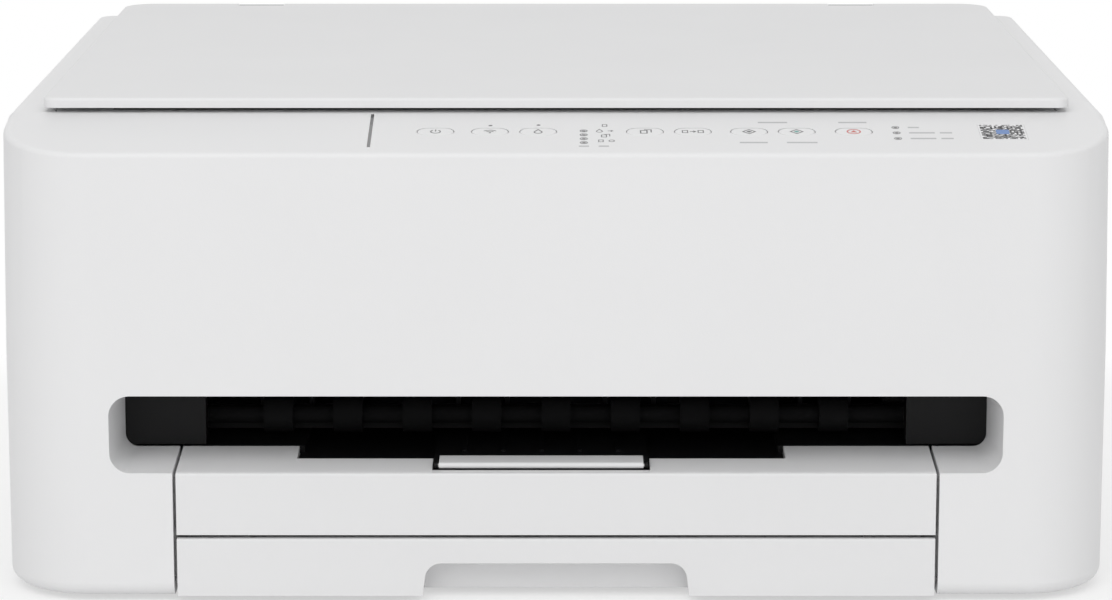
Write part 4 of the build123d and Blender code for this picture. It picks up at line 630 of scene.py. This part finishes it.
# %% [markdown]
# No moulding has an edge like a knife. A real one has a radius of about 0.2 mm, which
# shows as the thin bright line along every rim. A bevel modifier cuts it, and weighted
# normals then keep the flats flat. A bevel in the shader would look the same from here,
# but would be lost when the mesh leaves Blender.

# %% Softened edges
EASE = 0.18 * MM
EASE_STEPS = 2


def made_plain(piece):
    """The mesh that a piece's modifiers give."""
    bpy.context.view_layer.update()
    graph = bpy.context.evaluated_depsgraph_get()
    return bpy.data.meshes.new_from_object(piece.evaluated_get(graph), depsgraph=graph)


def softened(name, mesh):
    """A plain object of the mesh after its bevel and weighted normals."""
    piece = into_scene(name, mesh)
    bevel = piece.modifiers.new("ease", "BEVEL")
    bevel.width = EASE
    bevel.segments = EASE_STEPS
    bevel.limit_method = "ANGLE"
    bevel.angle_limit = SHARP
    weigh = piece.modifiers.new("weigh", "WEIGHTED_NORMAL")
    weigh.keep_sharp = True
    done = made_plain(piece)
    piece.modifiers.clear()
    piece.data = done
    done.name = name
    return piece


print("rims are eased by", EASE / MM, "mm")

# %% [markdown]
# The printer's parts move, so a new piece has to know what it rides on. The lid's shell
# rides on the lid, and a drawer's front on its drawer. The record that came with the
# frame says which part belongs to which body, and which finish it has.


# %% What a part belongs to
def body_of(node):
    """The body that a node belongs to."""
    bodies = frame["record"]["behaviour"]["bodies"]
    return next(body for body, nodes in bodies.items() if node in nodes)


def slot_of(node):
    """The finish that a node has in the record."""
    return next(p["material_slot"] for p in frame["record"]["subparts"] if p["node"] == node)


print("the lid's shell rides on", body_of("lid_shell"), "in", slot_of("lid_shell"))

# %% [markdown]
# Now the shells that show are made: the case, the lid, the drawers with their slides,
# the rear door, the scanner and the sockets. Each stands in for its own node, so that
# nothing is drawn twice. Small inner parts keep their plain mesh, since their rims are
# too small or too dark to be seen.

# %% The shells
SHELLS = ("outer_case", "lower_case", "lid_shell", "output_tray", "cassette_front",
          "paper_support", "stopper_tab", "tray_insert", "outlet_bezel", "rear_cover",
          "scanner_base", "scanner_top", "rear_sockets")


def eased_shell(node):
    """An eased copy that stands for a node, with the same finish."""
    mesh = welded(node)
    smooth(mesh)
    piece = softened(f"{node}_shell", mesh)
    piece.data.materials.clear()
    piece.data.materials.append(finishes[slot_of(node)].material)
    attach(piece, body_of(node))
    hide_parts(node)
    print(piece.name, len(piece.data.polygons), "faces")


for node in SHELLS:
    eased_shell(node)

# %% [markdown]
# The panel slopes towards the user, and its marks are printed on it. Rather than draw
# them on the slope, they are drawn flat, in millimetres, and one matrix lays them down:
# a shift to the panel's lower edge, a lean, and a step up along the slope.

# %% The slope of the panel
PANEL_RUN = 42.0 * MM
PANEL_RISE = 7.6 * MM
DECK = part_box("outer_case")[1].z
FRONT = cad_box[0].y
LEAN = math.atan2(PANEL_RISE, PANEL_RUN)


def panel_place(x, along, height=0.0):
    """The turn and shift that lay a flat drawing on the panel, with its own middle
    at a place given in millimetres: x to the right and along up the slope."""
    start = Matrix.Translation((x * MM, FRONT, DECK - PANEL_RISE))
    lean = Matrix.Rotation(LEAN, 4, "X")
    return start @ lean @ Matrix.Translation((0.0, along * MM, height))


print("panel leans", round(math.degrees(LEAN), 2), "degrees")

# %% [markdown]
# Printed signs are lines of even width, like those of a pen. A curve with a flat bevel
# could draw them, but its corners bulge when the line is short. So a strip of four-sided
# faces is laid along the points. At a corner its edges meet on the mitre, and the least
# cosine below keeps a sharp corner from growing a spike.

# %% Lines, rings and bars
MITRE_COSINE = 0.3


def stroke(points, width, closed=False):
    """A line of even width through points, as a strip of four-sided faces."""
    count = len(points)
    left, right = [], []
    for index, point in enumerate(points):
        here = Vector(point)
        ways = []
        if index or closed:
            ways.append((here - Vector(points[index - 1])).normalized())
        if index + 1 < count or closed:
            ways.append((Vector(points[(index + 1) % count]) - here).normalized())
        way = sum(ways, Vector((0.0, 0.0))).normalized()
        side = Vector((-way.y, way.x)) * (width / 2) / max(way.dot(ways[0]), MITRE_COSINE)
        left.append(here + side)
        right.append(here - side)
    last = count if closed else count - 1
    return [(left[i], right[i], right[(i + 1) % count], left[(i + 1) % count])
            for i in range(last)]


def arc(radius, start, end, middle=(0.0, 0.0), steps=14):
    """Points along part of a circle, with its angles in degrees."""
    angles = [math.radians(start + (end - start) * i / steps) for i in range(steps + 1)]
    return [(middle[0] + radius * math.cos(a), middle[1] + radius * math.sin(a))
            for a in angles]


def circle(radius, width):
    """A ring about the middle."""
    return stroke(arc(radius, 0, 360, steps=20)[:-1], width, closed=True)


def bar(x, y, width, height):
    """A filled rectangle about a middle."""
    w, h = width / 2, height / 2
    return [((x - w, y - h), (x + w, y - h), (x + w, y + h), (x - w, y + h))]


def moved(faces, x, y, scale):
    """A drawing scaled and shifted."""
    return [tuple((x + scale * p[0], y + scale * p[1]) for p in face) for face in faces]


print("a ring has", len(circle(1.0, 0.1)), "faces")

# %% [markdown]
# Printed ink is a film of a few hundredths of a millimetre. A painted texture would lie
# level with the plastic, but it blurs in close-up. A mesh that thin keeps its edge, and
# it is still a solid: the flat faces are pushed up along the panel's own normal.

# %% A film of ink
INK = 0.04 * MM


def ink_film(name, drawings):
    """One thin mesh of several drawings, each given as (x, along, faces)."""
    form = bmesh.new()
    for x, along, faces in drawings:
        seat = panel_place(x, along)
        for face in faces:
            corners = [seat @ Vector((point[0] * MM, point[1] * MM, 0.0)) for point in face]
            form.faces.new([form.verts.new(corner) for corner in corners])
    bmesh.ops.remove_doubles(form, verts=form.verts, dist=WELD)
    up = Vector((0.0, -math.sin(LEAN), math.cos(LEAN))) * INK
    top = bmesh.ops.extrude_face_region(form, geom=form.faces[:])["geom"]
    bmesh.ops.translate(form, vec=up, verts=[v for v in top if isinstance(v, bmesh.types.BMVert)])
    bmesh.ops.recalc_face_normals(form, faces=form.faces[:])
    mesh = bpy.data.meshes.new(name)
    form.to_mesh(mesh)
    form.free()
    return mesh


def placed(name, mesh, body):
    """A finished mesh as a piece that rides on a body."""
    piece = into_scene(name, mesh)
    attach(piece, body)
    print(name, len(mesh.polygons), "faces")


def inked(name, drawings, ink, body):
    """Drawings on the panel, in an ink."""
    mesh = ink_film(name, drawings)
    mesh.materials.append(inks[ink].material)
    placed(name, mesh, body)


print("ink stands", INK / MM, "mm proud")

# %% [markdown]
# The inks are grey on white, so that the panel stays calm. Only three marks have a
# colour: teal to start in colour, red to stop, and a blue field in the square label.

# %% Inks
inks = {
    "ink_grey": plastic("ink_grey", (0.16, 0.16, 0.165), 0.5, drift=0.05),
    "ink_pale": plastic("ink_pale", (0.50, 0.50, 0.51), 0.5, drift=0.03),
    "ink_teal": plastic("ink_teal", (0.13, 0.36, 0.33), 0.5, drift=0.05),
    "ink_red": plastic("ink_red", (0.58, 0.13, 0.12), 0.5, drift=0.05),
    "ink_blue": plastic("ink_blue", (0.16, 0.27, 0.55), 0.5, drift=0.05),
}
print("inks:", len(inks))

# %% [markdown]
# Eight keys lie on the panel, and each has a small sign for what it does. The signs are
# plain ones that belong to nobody. Each is a function that gives faces about its own
# middle, so that the same sheet, arrow or drop serves for a key and for a lamp.

# %% Sheet, arrow and drop
LINE = 0.32


def sheet_sign(x=0.0):
    """A sheet of paper, upright."""
    w, h = 0.75, 1.0
    return stroke([(x - w, -h), (x + w, -h), (x + w, h), (x - w, h)], LINE, closed=True)


def arrow_sign():
    """An arrow that points to the right."""
    shaft = stroke([(-0.9, 0.0), (0.7, 0.0)], LINE)
    return shaft + stroke([(0.1, -0.7), (0.8, 0.0), (0.1, 0.7)], LINE)


def drop_sign():
    """A drop of ink."""
    return stroke([(0, 1.6)] + arc(1.0, 155, 385, (0, -0.4)), LINE, closed=True)


def copy_sign():
    """A sheet, an arrow and a sheet."""
    return sheet_sign(-2.3) + arrow_sign() + sheet_sign(2.3)


def two_sheets_sign():
    """One sheet behind another."""
    corner = stroke([(-0.2, 1.5), (1.6, 1.5), (1.6, -0.6)], LINE)
    return moved(sheet_sign(), -0.3, -0.2, 1.1) + corner


print("paper signs ready")

# %% [markdown]
# The other signs are rings, arcs and diamonds: a ring and a line for power, waves for a
# radio link, a diamond to start and a triangle in a ring to stop.


# %% Power, radio, start and stop
def power_sign():
    """A ring that is open at the top, with an upright line."""
    return stroke(arc(1.25, 125, 415), LINE) + stroke([(0, 0.2), (0, 1.5)], LINE)


def radio_sign():
    """A dot with two waves over it."""
    waves = [stroke(arc(radius, 45, 135, (0, -1.1)), LINE) for radius in (1.3, 2.2)]
    return waves[0] + waves[1] + bar(0, -0.9, 0.6, 0.6)


def start_sign():
    """A diamond with a rim."""
    return stroke([(0, 1.5), (-1.5, 0), (0, -1.5), (1.5, 0)], LINE, closed=True)


def start_fill():
    """A filled diamond that fits in the rim."""
    half = 0.95
    return [((0, half), (-half, 0), (0, -half), (half, 0))]


def stop_sign():
    """A triangle in a ring."""
    return circle(1.45, LINE) + [((-0.75, -0.5), (0.75, -0.5), (0.0, 0.85))]


print("ring signs ready")

# %% [markdown]
# Each sign rides on its own key, so that it goes down with the key when it is pressed.
# One mesh for all eight would be simpler, but it would hang in the air over a pressed
# key. The middle of a key is read from the frame, not typed again.

# %% Key signs
# each key from the left: its sign, how much larger it is printed, and its ink
KEY_SIGNS = ((power_sign(), 1.3, "ink_grey"), (radio_sign(), 1.3, "ink_grey"),
             (drop_sign(), 1.3, "ink_grey"), (two_sheets_sign(), 1.3, "ink_grey"),
             (copy_sign(), 1.15, "ink_grey"), (start_sign(), 1.4, "ink_grey"),
             (start_sign(), 1.4, "ink_grey"), (stop_sign(), 1.5, "ink_red"))
KEY_FILLS = ((6, "ink_grey"), (7, "ink_teal"))
KEY_ALONG = 23.3


def key_middle(number):
    """A key's middle across the panel, in millimetres."""
    low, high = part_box(f"key_{number}")
    return (low.x + high.x) / 2 / MM


def on_key(name, number, faces, ink):
    """A drawing in the middle of a key."""
    drawing = (key_middle(number), KEY_ALONG, faces)
    inked(f"{name}_{number}", [drawing], ink, f"button_{number}")


for number, (sign, scale, ink) in enumerate(KEY_SIGNS, 1):
    on_key("key_sign", number, moved(sign, 0.0, 0.0, scale), ink)
for number, ink in KEY_FILLS:
    on_key("key_fill", number, start_fill(), ink)

# %% [markdown]
# Around the keys the panel has short captions, little pictures beside its lamps, and a
# thin rim round each lamp. A caption is a plain pale bar. All of one kind share a mesh,
# since nothing on the panel but the keys moves.

# %% Panel marks
CAPTION_H = 1.15
# each caption: its left end, its right end and its place up the slope, in millimetres
CAPTIONS = ((68.3, 78.2, 32.7), (95.5, 105.0, 32.7), (61.3, 70.6, 12.1), (77.0, 87.2, 12.1),
            (118.6, 122.3, 27.5), (118.6, 127.2, 22.0), (128.9, 133.0, 22.0),
            (118.6, 127.2, 16.2), (128.9, 133.0, 16.2), (7.6, 11.0, 8.4), (14.2, 17.6, 8.4))
LAMP_RIM = 1.15
LAMP_RIM_LINE = 0.35
# each lamp: its place across and its place up the slope
LAMP_PLACES = ((114.4, 27.5), (114.4, 22.0), (114.4, 16.2), (9.3, 24.0), (9.3, 20.0),
               (9.3, 16.0), (9.3, 12.0))
# each picture: its place across, its place up the slope, and its lines
LAMP_SIGNS = ((16.4, 29.6, sheet_sign()), (14.6, 24.0, drop_sign()), (18.3, 24.0, arrow_sign()),
              (16.4, 19.0, two_sheets_sign()), (15.0, 13.8, sheet_sign()),
              (18.6, 13.8, circle(0.9, LINE)))

captions = [((x0 + x1) / 2, along, bar(0, 0, x1 - x0, CAPTION_H)) for x0, x1, along in CAPTIONS]
rims = [(x, along, circle(LAMP_RIM, LAMP_RIM_LINE)) for x, along in LAMP_PLACES]
inked("panel_captions", captions, "ink_pale", "root")
inked("lamp_signs", LAMP_SIGNS, "ink_grey", "root")
inked("lamp_rims", rims, "ink_grey", "root")

# %% [markdown]
# What repeats by rule is made by Geometry Nodes. An array modifier could repeat a tooth
# too, but a small tree takes its sizes by name and can also leave some out at random.
# The same Tree class builds it, because a geometry tree grows as a shader tree does.
# The tree ends by making the copies real and giving them their material.

# %% A rule with named sizes
KINDS = {float: "NodeSocketFloat", int: "NodeSocketInt", bpy.types.Material: "NodeSocketMaterial"}


def rule_group(name, build, sizes):
    """A geometry tree with an input for each size, and those inputs' identifiers."""
    group = bpy.data.node_groups.new(name, "GeometryNodeTree")
    add_socket = group.interface.new_socket
    add_socket("Geometry", in_out="INPUT", socket_type="NodeSocketGeometry")
    keys = {size: add_socket(size, in_out="INPUT", socket_type=KINDS[type(value)]).identifier
            for size, value in sizes.items()}
    add_socket("Geometry", in_out="OUTPUT", socket_type="NodeSocketGeometry")
    tree = Tree(group)
    given = {socket.name: Wire(tree, socket)
             for socket in tree.nodes.new("NodeGroupInput").outputs if socket.name}
    real = tree.add("GeometryNodeRealizeInstances", {}, {0: build(tree, given)})
    dressed = tree.add("GeometryNodeSetMaterial", {}, {0: real, "Material": given["Material"]})
    tree.end("NodeGroupOutput", dressed)
    return group, keys


def pattern_mesh(name, build, sizes):
    """Run a rule with its sizes, and keep the result as a plain mesh."""
    group, keys = rule_group(name, build, sizes)
    piece = into_scene(name, bpy.data.meshes.new(name))
    modifier = piece.modifiers.new(name, "NODES")
    modifier.node_group = group
    for size, value in sizes.items():
        modifier[keys[size]] = value
    mesh = made_plain(piece)
    bpy.data.objects.remove(piece)
    mesh.name = name
    return mesh


print("rules can be run")

# %% [markdown]
# The square label at the right of the panel carries a block code. Its blocks are cells
# of a grid, each kept or dropped by a seeded coin toss, so that it reads as a code but
# says nothing. A second, paler toss fills some of the gaps, as fine print does when it
# is seen from arm's length, and a blue field lies in the middle.

# %% The block label
LABEL_X = 150.1
LABEL_ALONG = 23.0
LABEL_CELLS = 21
LABEL_CELL = 0.69 * MM
LABEL_HEIGHT = -0.02 * MM
LABEL_FIELD = 4.4
# each toss: its name, the share of tiles it keeps, its seed and its ink
LABEL_TOSSES = (("label_blocks", 0.62, 4, "ink_grey"), ("label_shades", 0.35, 9, "ink_pale"))


def tile_rule(tree, given):
    """Square tiles on the points of a grid, some of them dropped at random."""
    span = given["Cell"] * (given["Cells"] - 1.0)
    grid = tree.add("GeometryNodeMeshGrid", {}, {"Size X": span, "Size Y": span,
                                                "Vertices X": given["Cells"],
                                                "Vertices Y": given["Cells"]})
    coin = tree.add("FunctionNodeRandomValue", {"data_type": "BOOLEAN"},
                    {"Probability": given["Share"], "Seed": given["Seed"]}, out=3)
    size = tree.add("ShaderNodeCombineXYZ", {}, {0: given["Cell"], 1: given["Cell"], 2: INK})
    tile = tree.add("GeometryNodeMeshCube", {}, {"Size": size})
    return tree.add("GeometryNodeInstanceOnPoints", {},
                    {"Points": grid, "Selection": coin, "Instance": tile})


def label_tiles(name, share, seed, ink):
    """One toss of tiles, laid on the label."""
    sizes = {"Cell": LABEL_CELL, "Cells": LABEL_CELLS, "Share": share, "Seed": seed,
             "Material": inks[ink].material}
    mesh = pattern_mesh(name, tile_rule, sizes)
    mesh.transform(panel_place(LABEL_X, LABEL_ALONG, LABEL_HEIGHT))
    placed(name, mesh, "root")


for toss in LABEL_TOSSES:
    label_tiles(*toss)
field = bar(0, 0, LABEL_FIELD, LABEL_FIELD)
inked("label_field", [(LABEL_X, LABEL_ALONG, field)], "ink_blue", "root")

# %% [markdown]
# A row of equal blocks is the other rule that the printer needs, for belt teeth and for
# ribs. It puts points on a line, a pitch apart, and one block on each point.


# %% A row of blocks
def row_rule(tree, given):
    """Blocks in a row along X, as many as asked for, a pitch apart."""
    step = tree.add("ShaderNodeCombineXYZ", {}, {0: given["Pitch"]})
    line = tree.add("GeometryNodeMeshLine", {}, {"Count": given["Count"], "Offset": step})
    size = tree.add("ShaderNodeCombineXYZ", {},
                    {0: given["Long"], 1: given["Wide"], 2: given["High"]})
    block = tree.add("GeometryNodeMeshCube", {}, {"Size": size})
    return tree.add("GeometryNodeInstanceOnPoints", {}, {"Points": line, "Instance": block})


def row_of_blocks(name, middle, count, pitch, size, material):
    """A row of blocks as one mesh, about a middle in metres."""
    sizes = {"Pitch": pitch, "Count": count, "Long": size[0], "Wide": size[1],
             "High": size[2], "Material": material}
    mesh = pattern_mesh(name, row_rule, sizes)
    first = middle - Vector(((count - 1) * pitch / 2, 0.0, 0.0))
    mesh.transform(Matrix.Translation(first))
    return mesh


print("rows can be laid")

# %% [markdown]
# The drive belts are rubber with teeth moulded on the inner side. The construction
# model has them as smooth bands, so a row of little teeth is laid along each straight
# run. The teeth could follow the belt round its wheels as well, but there the wheel
# hides them.

# %% Belt teeth
TOOTH_PITCH = 2.0 * MM
TOOTH_L = 1.0 * MM
TOOTH_H = 0.5 * MM
TOOTH_SHARE = 0.9
BELT_BACK = 0.9 * MM
# each belt, and how far its wheels reach in from its ends
BELT_ENDS = (("scan_belt", 8 * MM), ("carriage_belt", 10 * MM))


def joined(name, meshes):
    """Several meshes as one."""
    form = bmesh.new()
    for mesh in meshes:
        form.from_mesh(mesh)
    whole = bpy.data.meshes.new(name)
    form.to_mesh(whole)
    form.free()
    whole.materials.append(meshes[0].materials[0])
    return whole


def belt_teeth(belt, end):
    """Teeth on the two straight runs of a belt, up to where it meets its wheels."""
    low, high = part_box(belt)
    middle = (low + high) / 2
    count = int((high.x - low.x - 2 * end) / TOOTH_PITCH)
    size = (TOOTH_L, TOOTH_H, (high.z - low.z) * TOOTH_SHARE)
    inner = BELT_BACK + TOOTH_H / 2
    name = f"{belt}_teeth"
    runs = [row_of_blocks(name, Vector((middle.x, y, middle.z)), count, TOOTH_PITCH, size,
                          finishes["belt_rubber"].material)
            for y in (low.y + inner, high.y - inner)]
    placed(name, joined(name, runs), body_of(belt))


for belt, end in BELT_ENDS:
    belt_teeth(belt, end)

# %% [markdown]
# The rear door is pulled open by a shallow pocket in its top edge. Ribs on the pocket's
# floor keep a fingertip from slipping. They are raised from the floor and end below the
# door's outer face, as a mould would make them.

# %% Grip ribs
RIBS = 13
RIB_PITCH = 3.0 * MM
RIB_SIZE = (1.0 * MM, 0.5 * MM, 6.0 * MM)
POCKET_DEPTH = 1.0 * MM
POCKET_TOP = 1.5 * MM


def grip_ribs():
    """Ribs on the floor of the pocket in the rear door."""
    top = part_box("rear_cover")[1]
    middle = Vector((0.0, top.y - POCKET_DEPTH + RIB_SIZE[1] / 2,
                     top.z - POCKET_TOP - RIB_SIZE[2] / 2))
    mesh = row_of_blocks("grip_ribs", middle, RIBS, RIB_PITCH, RIB_SIZE,
                         finishes["case_white"].material)
    placed("grip_ribs", mesh, body_of("rear_cover"))


grip_ribs()

# %% [markdown]
# Each ink cartridge has a coloured band on its grip, so that it goes back into the right
# well: three colours share one cartridge, and black has the other. A band could be paint
# in the cartridge's material, but a thin strip is easier to move and to recolour.

# %% Ink bands
CELL_W = 33.0 * MM
CELL_GRIP_Y = 6.0 * MM
BAND_W = 7.4 * MM
BAND_D = 4.6 * MM
BAND_T = 0.2 * MM
BAND_PITCH = 8.0 * MM
CELLS_LOW, CELLS_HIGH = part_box("cartridges")
COLOUR_CELL_X = CELLS_LOW.x + CELL_W / 2
BLACK_CELL_X = CELLS_HIGH.x - CELL_W / 2
# each band: its name, its place across the printer, its width and its colour
BANDS = (("ink_cyan", COLOUR_CELL_X - BAND_PITCH, BAND_W, (0.02, 0.30, 0.55)),
         ("ink_magenta", COLOUR_CELL_X, BAND_W, (0.50, 0.03, 0.20)),
         ("ink_yellow", COLOUR_CELL_X + BAND_PITCH, BAND_W, (0.72, 0.55, 0.04)),
         ("ink_black", BLACK_CELL_X, BAND_W + 2 * BAND_PITCH, (0.03, 0.03, 0.03)))


def ink_band(name, x, width, colour):
    """A coloured band on top of a cartridge's grip."""
    middle = Vector((x, CELLS_LOW.y + CELL_GRIP_Y, CELLS_HIGH.z + BAND_T / 2))
    finish = plastic(name, colour, 0.4, drift=0.05)
    mesh = row_of_blocks(name, middle, 1, BAND_PITCH, (width, BAND_D, BAND_T), finish.material)
    placed(name, mesh, body_of("cartridges"))


for band in BANDS:
    ink_band(*band)
